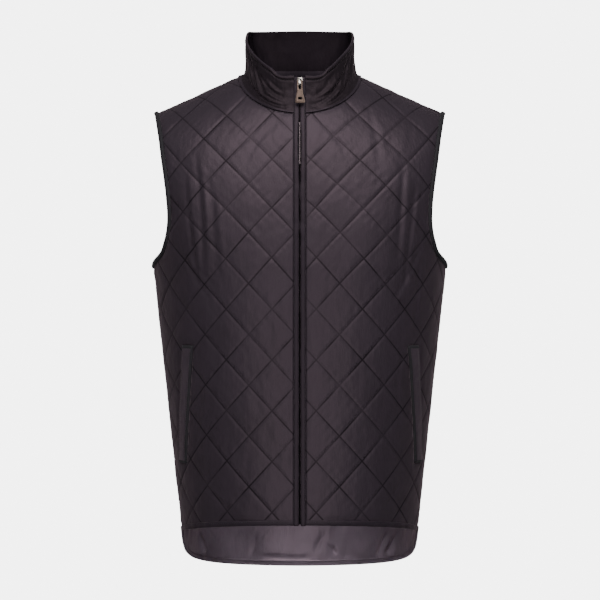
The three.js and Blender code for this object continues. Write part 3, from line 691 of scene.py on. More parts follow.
def nylon(name, dark, light, roughness, wrinkle=0.8, seams=False, sheen=0.2, gloss=0.5):
    """Woven nylon taffeta: smooth filament yarn gives it a broad soft gloss and crisp crinkles."""
    material, tree = start_material(name)
    place = add_node(tree, "ShaderNodeTexCoord")
    inside = place.outputs["Object"]
    # Patches about 70 mm wide, where the dye took a little more or less.
    cloudy = add_node(tree, "ShaderNodeTexNoise", Vector=inside, Scale=14, Detail=3)
    mixed = add_node(
        tree, "ShaderNodeMix", {"data_type": "RGBA"}, Factor=cloudy.outputs["Fac"], A=dark, B=light
    )
    colour = mixed.outputs["Result"]
    # Crinkles 8 to 40 mm long, which run mostly up and down as cloth under its own weight creases.
    stretched = add_node(tree, "ShaderNodeMapping", Vector=inside, Scale=(1, 1, 0.25))
    crinkles = add_node(
        tree, "ShaderNodeTexNoise", Vector=stretched.outputs["Vector"], Scale=90, Detail=3, Roughness=0.6
    )
    # Real taffeta has about 60 yarns to the centimetre, too fine to show, so it is drawn at 1.2 mm.
    weave = add_node(tree, "ShaderNodeTexNoise", Vector=inside, Scale=800, Detail=1)
    low = add_node(
        tree, "ShaderNodeBump", Strength=wrinkle, Distance=0.0012, Height=crinkles.outputs["Fac"]
    )
    fine = add_node(
        tree,
        "ShaderNodeBump",
        Strength=0.12,
        Distance=0.0003,
        Height=weave.outputs["Fac"],
        Normal=low.outputs["Normal"],
    )
    if seams:
        colour, shown = stitched_line(tree, place.outputs["UV"], colour)
        gloss, sheen = (
            add_node(tree, "ShaderNodeMath", {"operation": "MULTIPLY"}, _0=shown, _1=full).outputs[0]
            for full in (gloss, sheen)
        )
    finish_material(
        tree,
        Base_Color=colour,
        Roughness=roughness,
        IOR=1.53,
        Specular_IOR_Level=gloss,
        Sheen_Weight=sheen,
        Sheen_Roughness=0.5,
        Sheen_Tint=plum_gloss,
        Specular_Tint=plum_gloss,
        Normal=fine.outputs["Normal"],
    )
    return material


def stitched_line(tree, cloth_place, colour):
    """Darkens and dulls the stitched line of each seam, where the thread pulls the cloth into shade.

    The cloth's own map counts repeats of the quilting, so a seam lies wherever the sum or the
    difference of its two numbers is whole, and 1 is the 49 mm from one seam to the next.
    """
    split = add_node(tree, "ShaderNodeSeparateXYZ", Vector=cloth_place)
    across, up = split.outputs[:2]
    seams = []
    for operation in ("ADD", "SUBTRACT"):
        slant = add_node(tree, "ShaderNodeMath", {"operation": operation}, _0=across, _1=up).outputs[0]
        apart = add_node(tree, "ShaderNodeMath", {"operation": "PINGPONG"}, _0=slant, _1=0.5)
        seams.append(apart.outputs[0])
    nearest = add_node(tree, "ShaderNodeMath", {"operation": "MINIMUM"}, _0=seams[0], _1=seams[1])
    # The thread pulls harder in some places than in others.
    pull = add_node(tree, "ShaderNodeTexNoise", Vector=cloth_place, Scale=1.3, Detail=2)
    strength = add_node(
        tree,
        "ShaderNodeMapRange",
        Value=pull.outputs["Fac"],
        From_Min=0.35,
        From_Max=0.65,
        To_Min=0.25,
        To_Max=0.72,
    )
    # The shade is full within 0.2 mm of the thread and gone 1.9 mm from it.
    fade = add_node(
        tree,
        "ShaderNodeMapRange",
        {"interpolation_type": "SMOOTHSTEP"},
        Value=nearest.outputs[0],
        From_Min=0.004,
        From_Max=0.038,
        To_Min=strength.outputs["Result"],
        To_Max=0,
    )
    shade = fade.outputs["Result"]
    darkened = add_node(
        tree, "ShaderNodeMix", {"data_type": "RGBA"}, Factor=shade, A=colour, B=linear("#0B090B")
    )
    shown = add_node(tree, "ShaderNodeMath", {"operation": "SUBTRACT"}, _0=1, _1=shade)
    return darkened.outputs["Result"], shown.outputs[0]


def metal(name, colour, roughness, scratch=0.2):
    """Cast or stamped metal with a plated finish: soft reflections, dulled a little by handling."""
    material, tree = start_material(name)
    place = add_node(tree, "ShaderNodeTexCoord").outputs["Object"]
    # Scuffs about 2 mm across.
    worn = add_node(tree, "ShaderNodeTexNoise", Vector=place, Scale=420, Detail=4).outputs["Fac"]
    rough = add_node(
        tree, "ShaderNodeMapRange", Value=worn, To_Min=roughness - 0.08, To_Max=roughness + 0.12
    )
    bump = add_node(tree, "ShaderNodeBump", Strength=scratch, Distance=0.0002, Height=worn)
    finish_material(
        tree,
        Base_Color=colour,
        Metallic=1.0,
        Roughness=rough.outputs["Result"],
        Normal=bump.outputs["Normal"],
    )
    return material


def tape(name, dark, light, ribbing):
    """Woven polyester tape or thread: matt, with fine ribs, drawn coarse enough to show.

    A ribbing of 200 draws ribs 1.6 mm apart, and twice the number half as far apart.
    """
    material, tree = start_material(name)
    place = add_node(tree, "ShaderNodeTexCoord").outputs["Object"]
    bands = {"bands_direction": "Z"}
    waves = add_node(tree, "ShaderNodeTexWave", bands, Vector=place, Scale=ribbing, Distortion=1.5)
    ribs = waves.outputs["Fac"]
    colour = add_node(
        tree, "ShaderNodeMix", {"data_type": "RGBA"}, Factor=ribs, A=linear(dark), B=linear(light)
    )
    bump = add_node(tree, "ShaderNodeBump", Strength=0.35, Distance=0.0004, Height=ribs)
    finish_material(
        tree,
        Base_Color=colour.outputs["Result"],
        Roughness=0.72,
        IOR=1.55,
        Sheen_Weight=0.15,
        Normal=bump.outputs["Normal"],
    )
    return material


def studio_paper(name, colour, glow):
    """Seamless background paper, lit from behind: quite matt, and so even that no edge shows."""
    material, tree = start_material(name)
    place = add_node(tree, "ShaderNodeTexCoord").outputs["Object"]
    grain = add_node(tree, "ShaderNodeTexNoise", Vector=place, Scale=300)
    bump = add_node(tree, "ShaderNodeBump", Strength=0.05, Distance=0.001, Height=grain.outputs["Fac"])
    finish_material(
        tree,
        Base_Color=linear(colour),
        Roughness=0.95,
        Normal=bump.outputs["Normal"],
        Emission_Color=linear(colour),
        Emission_Strength=glow,
    )
    return material


finishes = {}


def make_finishes(colours):
    """Every material of the vest, made once and shared by its pieces."""
    cloths = ("quilted", "plain", "collar", "facing", "lining")
    pairs = {cloth: (colours[cloth + "_dark"], colours[cloth]) for cloth in cloths}
    welt_pair = colours["plain"], colours["lining_dark"]
    finishes.update(
        quilted=nylon("Quilted nylon", *pairs["quilted"], 0.52, wrinkle=0.65, seams=True, gloss=0.6),
        plain=nylon("Plain nylon", *pairs["plain"], 0.5, gloss=0.3),
        welt=nylon("Welt nylon", *welt_pair, 0.5, sheen=0.3),
        hem=nylon("Hem nylon", *pairs["lining"], 0.6, sheen=0.3, gloss=0.15),
        # The collar's outside is the shell's nylon, darkened as painted shade.
        collar=nylon("Collar nylon", *pairs["collar"], 0.5, wrinkle=1.1, sheen=0.1, gloss=0.3),
        # The facing is near-black: painted shade inside the neck.
        facing=nylon("Collar facing", *pairs["facing"], 0.6, wrinkle=1.0, sheen=0.0, gloss=0.1),
        lining=nylon("Nylon lining", *pairs["lining"], 0.4, wrinkle=1.0, sheen=0.35),
        binding=tape("Binding tape", "#120E14", "#221C25", ribbing=200),
        zip_tape=tape("Zip tape", "#18151A", "#2B262C", ribbing=260),
        thread=tape("Sewing thread", "#1A171B", "#2E292F", ribbing=900),
        # The zip teeth in the light, and a near-black copy of them painted in shade for the teeth in the
        # slit below the tab.
        teeth=metal("Aluminium zip teeth", colours["teeth"], roughness=0.2),
        dull_teeth=metal("Blackened zip teeth", linear("#1A181A"), roughness=0.5),
        zinc=metal("Plated zinc alloy", colours["zinc"], roughness=0.38, scratch=0.3),
        # The slider's bell takes a lighter, glossier copy of the zinc alloy: a painted highlight.
        bail=metal("Polished zinc alloy", linear("#CFC6BE"), roughness=0.24),
    )


def creases_on(face, drawn):
    """Creases drawn as seen from the front, as (x, height) in millimetres, laid on the flat cloth."""
    laid = []
    for run, width, depth in drawn:
        x, height = np.array(run, float).T
        places = face.flat_place(np.abs(x), height)
        places[:, 0] *= np.sign(x)
        laid.append((places, width, depth))
    return laid


# Soft folds of each front as (run of (x, height), half width, depth), in millimetres.
front_creases = {
    "front_left": [
        ([(150, -150), (146, -215), (140, -290)], 4.2, 1.4),
        ([(168, -170), (160, -240), (150, -330)], 3.6, 1.1),
        ([(178, -262), (160, -300), (132, -352)], 3.6, 1),
        ([(172, -300), (168, -350), (166, -400)], 4.2, 1.1),
        ([(30, -86), (58, -120), (80, -170)], 4.2, 0.7),
        ([(100, -60), (110, -110), (112, -160)], 4.8, 0.6),
        ([(150, -420), (140, -470), (146, -540)], 3.6, 0.7),
        ([(152, -590), (140, -620), (120, -650)], 3.6, 0.7),
    ],
    "front_right": [
        ([(-150, -140), (-142, -215), (-138, -300)], 4.2, 1.5),
        ([(-166, -165), (-158, -240), (-146, -320)], 3.6, 1.1),
        ([(-128, -180), (-122, -250), (-118, -310)], 4.8, 0.8),
        ([(-178, -262), (-158, -300), (-128, -345)], 3.6, 1),
        ([(-30, -86), (-62, -118), (-84, -160)], 4.2, 0.7),
        ([(-150, -425), (-142, -480), (-148, -550)], 3.6, 0.7),
        ([(-150, -592), (-128, -625), (-96, -648)], 3.6, 0.8),
    ],
}
back_creases = [
    ([(-150, -150), (-150, -230), (-158, -330)], 8, 2.2),
    ([(150, -150), (152, -230), (160, -330)], 8, 2.2),
    ([(-60, -560), (-66, -620), (-60, -690)], 10, 1.5),
    ([(70, -540), (72, -610), (64, -680)], 10, 1.5),
    ([(-20, -300), (-26, -380), (-22, -450)], 12, 1.4),
]

# Puckers of the tail's lining as (run of (x, height), half width, depth), in millimetres.
tail_folds = [
    ([(-18, -752), (20, -753), (62, -748)], 4.5, 6.0),
    ([(-172, -706), (-160, -728), (-140, -748)], 4.5, 7.0),
    ([(-150, -704), (-132, -744)], 4.0, 5.0),
    ([(-60, -744), (-44, -728)], 3.5, 3.5),
    ([(-36, -712), (-22, -744)], 4.5, 3.0),
    ([(70, -712), (78, -745)], 4.0, 4.5),
    ([(-96, -712), (-100, -740)], 5.0, 2.5),
    ([(176, -706), (166, -738)], 4.5, 7.0),
]

# Where the worn quilting strays from an even one, as (x, height) and its shift, in millimetres.
strays = {
    "front_left": [
        ((56, -107), (-9.6, -2.9)),
        ((122, -109), (-4.2, -5.2)),
        ((23, -142), (-9.8, -2.2)),
        ((90, -142), (-3.6, -2.2)),
        ((154, -142), (4.5, -4.6)),
        ((56, -177), (-2.7, -0.7)),
        ((123, -177), (0.7, -5)),
        ((90, -212), (2.7, 0)),
        ((154, -212), (2.3, -5)),
        ((123, -248), (4, -2.2)),
        ((56, -248), (0.7, 1.6)),
    ],
    "front_right": [
        ((-73, -108), (0, -3.7)),
        ((-139, -109), (0.7, -5.2)),
        ((-106, -142), (0.7, -3.6)),
        ((-170, -143), (-3.6, -6.6)),
        ((-39, -143), (0, -0.7)),
        ((-73, -177), (-0.7, -1.4)),
        ((-139, -177), (-1.9, -5)),
        ((-107, -213), (0, 0)),
        ((-168, -213), (0.4, -6.6)),
        ((-138, -249), (0, -2.4)),
        ((-74, -248), (-0.7, 1.6)),
    ],
}


# How far a stray reaches in millimetres, and how hard the even quilting pulls against the strays.
stray_reach, even_pull = 45, 0.15


def sewn_places(name, face, places):
    """Each place as the even quilting has it: less the strays' mean, weighed by nearness."""
    total, weights = np.zeros_like(places), np.full((len(places), 1), even_pull)
    for (x, height), shift in strays.get(name, []):
        spot = face.flat_place(abs(x), height) * [np.sign(x), 1]
        squared = ((places - spot) ** 2).sum(axis=1, keepdims=True)
        near = np.exp(-squared / stray_reach**2)
        total, weights = total + near * shift, weights + near
    return places - total / weights


# The lining in millimetres: its lift at an edge, how far it sinks in from there and over what width,
# the height of the tail's puckers, and how far below the underarm these set in and are full.
lining_form = Sizes(edge_lift=0.3, sunk=0.4, edge_fade=10, tail_height=1.7, tail_from=330, tail_full=380)
# The panel's least thickness, and the width over which creases fade towards its edges.
panel_form = Sizes(thinnest=0.7, crease_fade=16)


def lining_lift(places, edge, seed, tail=False):
    """The lining's own lift: low puckers inwards, deeper and set square to the hem on the tail."""
    x, y = places.T
    low = 0.5 * soft_noise(x, y * 0.6, 19, seed) + 0.25 * soft_noise(x, y * 0.6, 9, seed + 1)
    if tail:
        fall = smooth_step(-y, lining_form.tail_from, lining_form.tail_full)
        folds = soft_noise(x, y * 0.35, 24, seed + 2)
        folds = folds + 0.55 * soft_noise(x + 0.4 * y, y * 0.5, 10, seed + 3)
        low = low + fall * lining_form.tail_height * folds
        for run, width, depth in tail_folds:
            line = np.array([(x_at, back.flat_place(0, height)[1]) for x_at, height in run])
            low = low + fold_lift(places, line, width, depth, tail_kind)
    inside = smooth_step(edge, 0, lining_form.edge_fade)
    return lining_form.edge_lift + (low - lining_form.sunk) * inside


def quilted_panel(name, face, outlines, start, cells, creases, sizes, seed):
    """A quilted panel: a padded outer layer and a lining over one level grid, hung on the form."""
    places, quads, rim = cloth_grid(outlines, np.array(start), cells)
    edge = distance_to_edges(outlines, places)
    sewn = sewn_places(name, face, places)
    lift = quilted_lift(sewn, start, edge, seed, sizes)
    lift += crease_lift(places, creases) * smooth_step(edge, 0, panel_form.crease_fade)
    lining = lining_lift(places, edge, seed + 7, tail=name == "back")
    inner = np.minimum(lining, lift - panel_form.thinnest)
    x, y = places.T
    points = np.vstack([face.hang(x, y, lift), face.hang(x, y, inner)])
    repeats = (sewn - start) / [quilt.across, quilt.down]
    piece = lay_mesh(
        "shell_" + name,
        points,
        two_layers(quads, rim, len(places)),
        [finishes["quilted"], finishes["lining"]],
        uv=np.vstack([repeats, repeats]),
    )
    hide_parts(name)
    return piece


def edge_frames(points, outs, away_side, closed):
    """Directions away from a panel along its edge, square to the edge and to the cloth."""
    if closed:
        along = np.roll(points, -1, axis=0) - np.roll(points, 1, axis=0)
    else:
        along = np.gradient(points, axis=0)
    return unit(np.cross(along, outs)) * away_side


def round_section(low, high, bottom, top, corners=16, squareness=0.75):
    """A closed section as a rounded box: cosine and sine of the turn, each to a power below 1.

    It goes from low to high away from the panel's edge, and from bottom to top out of the cloth.
    """
    turn = np.linspace(0, 2 * np.pi, corners, endpoint=False)
    cosine, sine = np.cos(turn), np.sin(turn)
    away = (low + high) / 2 - (high - low) / 2 * np.sign(cosine) * np.abs(cosine) ** squareness
    out = (bottom + top) / 2 + (top - bottom) / 2 * np.sign(sine) * np.abs(sine) ** squareness
    return np.stack([away, out], axis=-1)


def edge_band(name, points, outs, away, section, closed, seed, materials):
    """A band swept along an edge. Its outside swells and thins a little, as a folded one's does."""
    length = length_along(points)
    swell = 0.25 * line_noise(length, 9, seed)
    if closed:
        swell *= np.sin(np.pi * length / length[-1]) ** 0.3
    outside = section[None, :, 1] > 0.5
    lift = section[None, :, 1] + swell[:, None] * outside
    loops = points[:, None] + away[:, None] * section[None, :, :1] + outs[:, None] * lift[..., None]
    faces = swept_faces(len(points), len(section), closed)
    piece = lay_mesh(name, loops.reshape(-1, 3), faces, materials)
    face_outwards(piece)
    return piece


def frames_at(points, outs, at):
    """Points at lengths from the start of a run, with their directions out of it and ahead."""
    length = length_along(points)
    centre, out, ahead = (
        np.stack([np.interp(at, length, axis) for axis in values.T], axis=-1)
        for values in (points, outs, np.gradient(points, axis=0))
    )
    return centre, unit(out), unit(ahead)


# One stitch in millimetres, and its rings as shares of its length and of its thickness.
stitch = Sizes(spacing=3.6, long=2.4, thick=0.55, sides=6)
stitch_rings = [(-0.5, 0.25), (-0.3, 1), (0.3, 1), (0.5, 0.25)]


def stitch_row(points, outs):
    """Stitches along a run of points: short six-sided bars, pulled in at both ends."""
    at = np.arange(stitch.spacing, length_along(points)[-1] - stitch.spacing, stitch.spacing)
    centre, out, ahead = frames_at(points, outs, at)
    aside = unit(np.cross(ahead, out))
    turn = np.linspace(0, 2 * np.pi, stitch.sides, endpoint=False)
    bars = np.stack(
        [
            centre[:, None]
            + ahead[:, None] * share * stitch.long
            + aside[:, None] * (np.cos(turn) * stitch.thick / 2 * girth)[None, :, None]
            + out[:, None] * (np.sin(turn) * stitch.thick / 2 * girth)[None, :, None]
            for share, girth in stitch_rings
        ],
        axis=1,
    )
    one = np.vstack(swept_faces(len(stitch_rings), stitch.sides, False))
    first = np.arange(len(at))[:, None, None] * len(stitch_rings) * stitch.sides
    return bars.reshape(-1, 3), (one[None] + first).reshape(-1, 4)


def lay_stitches(name, rows):
    """Several rows of stitches as one piece."""
    points, faces, count = [], [], 0
    for row_points, row_outs in rows:
        bars, bar_faces = stitch_row(row_points, row_outs)
        points.append(bars)
        faces.append(bar_faces + count)
        count += len(bars)
    piece = lay_mesh(name, np.vstack(points), [np.vstack(faces)], [finishes["thread"]])
    face_outwards(piece)


def neck_seam(count=150):
    """The neck seam from the centre front round the wearer's left to the centre back."""
    first = np.arcsin(panel_edge / form.neck_out)
    before = neck_places(front, np.linspace(first, np.pi / 2, count), form.front_neck_height)
    after = flipped(neck_places(back, np.linspace(np.pi / 2, 0, count), form.back_neck_height))[1:]
    points, outs = (np.vstack(pair) for pair in zip(front.read(*before.T), back.read(*after.T)))
    away = edge_frames(points, outs, -1, False)
    for i in (0, -1):
        outs[i, 0] = away[i, 0] = 0
    return points, unit(outs), unit(away)


neck_front = front.hang(0, front.flat_place(0, form.front_neck_height)[1])
neck_back = back.hang(0, back.flat_place(0, form.back_neck_height)[1])


def collar_profile(points, outs, away, angles, shares):
    """The collar's inside, as rows from the neck seam (share 0) to the rim (share 1).

    Each profile is a Hermite curve, which sets off along the panel and ends upright. The rim is
    an oval, squarer behind, whose height climbs smoothly from the front to the back.
    """
    early = smooth_step(angles, 0, collar.climb)
    climb = mix(early, angles / np.pi, collar.late_climb)
    innermost = np.where(angles < np.pi / 2, panel_edge, 0)
    deep = np.where(np.cos(angles) > 0, -collar.top_front, -collar.top_back)
    behind = np.clip(2 - angles / (np.pi / 2), 0, 1)
    square = collar.back_square
    out = np.where(angles < np.pi / 2, np.sin(angles), 1 - (1 - behind) ** square)
    aft = np.where(angles < np.pi / 2, np.cos(angles), behind**square - 1)
    rim = np.stack(
        [
            np.maximum(collar.top_out * out, innermost),
            deep * aft,
            mix(collar.front_top, collar.back_top, climb),
        ],
        axis=-1,
    )
    radial = unit(rim * [1, 1, 0])
    root = points - away * SEAM_LAP
    share = shares[None, :, None]
    to_rim = share**2 * (3 - 2 * share)
    reach = collar.root_reach * share * (1 - share) ** 2
    rows = mix(root[:, None], rim[:, None], to_rim) + away[:, None] * reach
    rows = rows + np.array([0, 0, collar.rise]) * share**2 * (share - 1)
    turned = np.minimum(1, share / collar.turned_at)
    return rows, unit(mix(outs[:, None], radial[:, None], turned))


def centre_run(below, drop):
    """The centre front from below the hem to the collar's top, and the directions out of it."""
    low = front_hem(0)[0, 1] - below
    neck_up = front.flat_place(0, form.front_neck_height)[1]
    ups = np.linspace(low, neck_up, 260)
    points, outs = front.read(np.zeros_like(ups), ups)
    away = unit(points[-1:] - points[-2:-1])
    shares = np.linspace(0, 1, 26)
    rows, row_outs = collar_profile(points[-1:], outs[-1:], away, np.array([0.0]), shares)
    points, outs = np.vstack([points, rows[0, 1:]]), np.vstack([outs, row_outs[0, 1:]])
    points[:, 0] = outs[:, 0] = 0
    points[-1, 2] -= drop
    return points, unit(outs)


def collar_folds(along, up, side):
    """Soft folds of the collar's outside, along from the centre front and up from the seam.

    Slanting crumples fan out from the centre front, and each drawn fold is a ridge over a valley
    along a line, as the exponential of its squared distance.
    """
    signed = along * side
    slant = soft_noise(signed + 0.9 * up * side, up * 0.8, 22, 31)
    fine = soft_noise(signed + 0.5 * up * side, up, 10, 32)
    lift = 0.8 * slant + 0.45 * fine
    places = np.stack(np.broadcast_arrays(along, up), axis=-1)
    for start, end, width, depth in collar_fold_lines[side]:
        line = np.array([start, end], float)
        lift = lift + fold_lift(places, line, width, depth, collar_kind)
    return lift


# Folds as (start, end, half width, depth). Places are (along the seam, up from it) in millimetres.
collar_fold_lines = {
    1: [
        ((12, 12), (75, 30), 4.5, 1.8),
        ((14, 26), (62, 44), 4.0, 1.5),
        ((20, 7), (100, 16), 4.0, 1.8),
        ((70, 22), (112, 52), 5.0, 1.8),
        ((96, 10), (128, 44), 5.0, 1.6),
        ((30, 38), (60, 50), 3.5, 0.9),
        ((16, 20), (46, 26), 2.4, 1.0),
        ((40, 20), (84, 38), 2.6, 1.1),
        ((76, 12), (104, 30), 2.6, 1.1),
    ],
    -1: [
        ((16, 8), (122, 11), 3.8, 3.2),
        ((14, 22), (58, 33), 4.0, 1.5),
        ((52, 18), (90, 46), 5.0, 1.8),
        ((88, 20), (118, 50), 5.0, 1.9),
        ((20, 34), (48, 42), 3.5, 1.1),
        ((16, 15), (60, 19), 2.4, 1.2),
        ((36, 26), (74, 42), 2.6, 1.0),
        ((78, 14), (104, 34), 2.8, 1.2),
    ],
}


def collar_tilt(rows, angles, shares, side):
    """How the rim of one half dips beside the zip and rises beyond it, and how the side leans in."""
    out_at_rim = rows[:, -1, 0]
    in_front = angles < np.pi / 2
    dip = collar.dip * stretch(out_at_rim, *collar.dip_stretch) * in_front
    rise = collar.side_rise[side] * smooth_step(out_at_rim, *collar.rise_out)
    rise = rise * (1 - smooth_step(angles, *collar.rise_fades))
    beside = smooth_step(np.sin(angles), 0.45, 0.95)
    waist = stretch(shares, *collar.waist_stretch)
    tilt = np.zeros_like(rows)
    tilt[..., 2] = (rise - dip)[:, None] * shares[None] ** 3
    tilt[..., 0] = -collar.side_waist[side] * beside[:, None] * waist[None]
    return tilt


def collar_groups(faces, up, stations, corners, cap_count):
    """The collar's faces by cloth: its outside, its inside, the tape behind and the piped edges."""
    sides, ends = faces[0], faces[1:]
    column, station = sides[:, 0] % corners, sides[:, 0] // corners
    rows = up.shape[1]
    within = column >= rows + cap_count // 2
    # Piped edges: the lowest rows along the seam, and the rows round the rim.
    piped = (column < np.searchsorted(up[0], collar.piping)) | (np.abs(column - rows - 2) < 4)
    tape_rows = np.searchsorted(up[-1], collar.tape_height)
    behind = np.abs(station - stations / 2) < stations / 4
    taped = within & behind & (column >= corners - 1 - tape_rows)
    return [
        np.vstack([sides[~within & ~piped], *ends]),
        sides[within & ~taped & ~piped],
        sides[taped & ~piped],
        sides[piped],
    ]


def build_collar():
    """The stand-up collar as one closed shell, swept round the neck."""
    points, outs, away = neck_seam()
    ratio = -points[:, 1] / np.where(points[:, 1] < 0, -neck_front[1], neck_back[1])
    angles = np.arctan2(np.abs(points[:, 0]) / form.neck_out, ratio)
    shares = 1 - (1 - np.linspace(0, 1, 44)) ** 1.25
    rows, row_outs = collar_profile(points, outs, away, angles, shares)
    along = length_along(points)[:, None]
    heights = np.linalg.norm(np.diff(rows, axis=1), axis=2)
    up = np.concatenate([np.zeros((len(rows), 1)), np.cumsum(heights, axis=1)], axis=1)
    below_rim = up[:, -1:] - up
    fade = smooth_step(up, 0, 5) * smooth_step(below_rim, 3, 14) * smooth_step(along[-1] - along, 0, 16)
    groove = collar.groove_depth * bell(below_rim, collar.stitch_below, collar.groove_half)
    roll = collar.roll_height * bell(below_rim, collar.roll_below, collar.roll_half)
    top_up = unit(rows[:, -1] - rows[:, -2])
    turn = np.linspace(0, np.pi, 9)[1:-1]
    halves, stitches = [], []
    for side in (1, -1):
        fold = collar_folds(along, up, side) * fade
        gather = collar.gather * soft_noise(along * side * np.ones_like(up), up * 0.12, 9, 35)
        gather = gather * smooth_step(along, 120, 170) * smooth_step(below_rim, 0, 10)
        tilted = rows + collar_tilt(rows, angles, shares, side)
        # The facing follows the folds by half and sinks less than the outside does.
        facing = 0.2 + 0.5 * np.clip(fold, -1.5, 1.2) + gather
        inner = tilted + row_outs * facing[..., None]
        outer = tilted + row_outs * (collar.cloth + fold - groove + roll)[..., None]
        middle, half = (outer[:, -1] + inner[:, -1]) / 2, (outer[:, -1] - inner[:, -1]) / 2
        cap = middle[:, None] + half[:, None] * np.cos(turn)[None, :, None]
        cap = cap + top_up[:, None] * (collar.edge_round * np.sin(turn))[None, :, None]
        mirror = np.array([side, 1, 1])
        halves.append(np.concatenate([outer, cap, inner[:, ::-1]], axis=1) * mirror)
        stitched = np.argmin(np.abs(below_rim.mean(0) - collar.stitch_below))
        line = outer[:, stitched] + row_outs[:, -1] * 0.3
        stitches.append((line[2:] * mirror, row_outs[2:, -1] * mirror))
    whole = np.concatenate([halves[1][:-1], halves[0][::-1]])
    stations, corners = whole.shape[:2]
    faces = swept_faces(stations, corners, False)
    groups = collar_groups(faces, up, stations, corners, len(turn))
    cloths = [finishes[cloth] for cloth in ("collar", "facing", "plain", "plain")]
    piece = lay_mesh("collar_shell", whole.reshape(-1, 3), groups, cloths)
    face_outwards(piece)
    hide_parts("collar")
    lay_stitches("collar_stitches", stitches)


# Sections of the bindings and hem bands, in millimetres: from low to high away from the panel's
# edge, from bottom to top out of the cloth, and where the stitches run on their outside.
binding = Sizes(low=-1.0, high=6.2, bottom=-1.0, top=4.4, stitch_away=1.4, stitch_out=4.25)
hem = Sizes(low=-1.2, high=6.8, bottom=-0.5, top=3.5, stitch_away=1.2, stitch_out=3.3)
# Where the tail's hem is stitched on its inside, which shows, and how far it runs past the side seams.
tail_band = Sizes(stitch_away=1.4, stitch_in=0.1, past=5)


def band_section(band):
    return round_section(band.low, band.high, band.bottom, band.top)


def armhole_frames(side):
    """The armhole's edge round one side: the front's from the underarm up, then the back's down."""
    step = 3.0
    fore, aft = armhole_edge(front, step), armhole_edge(back, step)[::-1][1:-1]
    fore_points, fore_outs = front.read(fore[:, 0] * side, fore[:, 1])
    aft_points, aft_outs = back.read(-aft[:, 0] * side, aft[:, 1])
    points, outs = np.vstack([fore_points, aft_points]), np.vstack([fore_outs, aft_outs])
    return points, outs, edge_frames(points, outs, side, True)


def build_bindings():
    """The armholes' bindings, folded over the edge and stitched."""
    section = band_section(binding)
    for side_name, side in (("left", 1), ("right", -1)):
        points, outs, away = armhole_frames(side)
        name = "binding_" + side_name
        piece = edge_band(name, points, outs, away, section, True, 40 + side, [finishes["binding"]])
        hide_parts("armhole_binding_" + side_name)
        line = points + away * binding.stitch_away + outs * binding.stitch_out
        lay_stitches("binding_stitches_" + side_name, [(line, outs)])


def build_hems():
    """Hem bands of both fronts and of the back's tail, each with a row of stitches."""
    section = band_section(hem)
    edge = front_hem(panel_edge, 130) + [SEAM_LAP / 2, 0]
    tail = tail_hem(140)[:-1]
    tail = np.vstack([flipped(tail)[::-1], tail[1:]])
    first, last = unit(tail[0] - tail[1]), unit(tail[-1] - tail[-2])
    tail = np.vstack([tail[0] + tail_band.past * first, tail, tail[-1] + tail_band.past * last])
    runs = (
        ("left", front, edge, 1, "hem_band_left", "shell_front_left"),
        ("right", front, flipped(edge), -1, "hem_band_right", "shell_front_right"),
        ("back", back, tail, 1, "hem_band_back", "shell_back"),
    )
    for name, face, places, away_side, node, holder in runs:
        points, outs = face.read(*places.T)
        away = edge_frames(points, outs, away_side, False)
        cloth = finishes["hem" if face is back else "plain"]
        piece = edge_band("hem_" + name, points, outs, away, section, False, 50 + len(name), [cloth])
        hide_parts(node)
        rows = [(points + away * hem.stitch_away + outs * hem.stitch_out, outs)]
        if face is back:
            inside = points + away * tail_band.stitch_away - outs * tail_band.stitch_in
            rows.append((inside, -outs))
        lay_stitches("hem_stitches_" + name, rows)


# Stretches of the slit, as the height of the middle and half the length: where the strips lie close,
# and where they stand widest apart under the tab.
close_stretches = [(-186, 11), (-240, 8), (-38, 58)]
wide_stretch = (-118, 30)
# Half the slit where the strips lie close, its least, and what the widest stretch adds.
slit = Sizes(close=0.45, least=0.25, widened=0.8)
# The strips' thickness, their folded width as cut, and where their outer stitches run.
strip = Sizes(thick=4.6, folded=11.5, stitch_across=7.2, stitch_out=4.62)
# The chain's first tooth, the gap from its last one to the top, and how far the bare teeth stand out.
chain = Sizes(first=1.2, top_gap=14, bare_lift=1.5)
# Where the teeth stand bare: there they take the lit metal, elsewhere the near-black copy painted in shade.
bare_teeth = (-158, -140, -92, -84)
# One tooth as rings of (from, to) across, half length along the zip and height above the tape.
tooth_rings = [(-0.7, 1.3, 0.55, 0.4), (-0.8, 1.3, 0.62, 1.3), (-0.6, 1.15, 0.4, 1.9)]
# The tape's section as (across, out): flat under both strips, with a raised cord under the teeth.
tape_section = np.array(
    [(-6, -0.6), (-6, -0.15), (-1.3, -0.15), (-1.3, 0.75), (1.3, 0.75), (1.3, -0.15), (6, -0.15), (6, -0.6)]
)


def slit_width(height, sizes):
    """Half the gap between the strips: open where the strips stand apart, and wavy all along."""
    shut = sum(bell(height, place, half, power=4) for place, half in close_stretches)
    wave = 0.28 * line_noise(height, 17, 61) + 0.16 * line_noise(height, 6, 62)
    wide = slit.widened * bell(height, *wide_stretch, power=4)
    return np.maximum(slit.least, mix(sizes.open_half, slit.close, np.minimum(shut, 1)) + wave + wide)


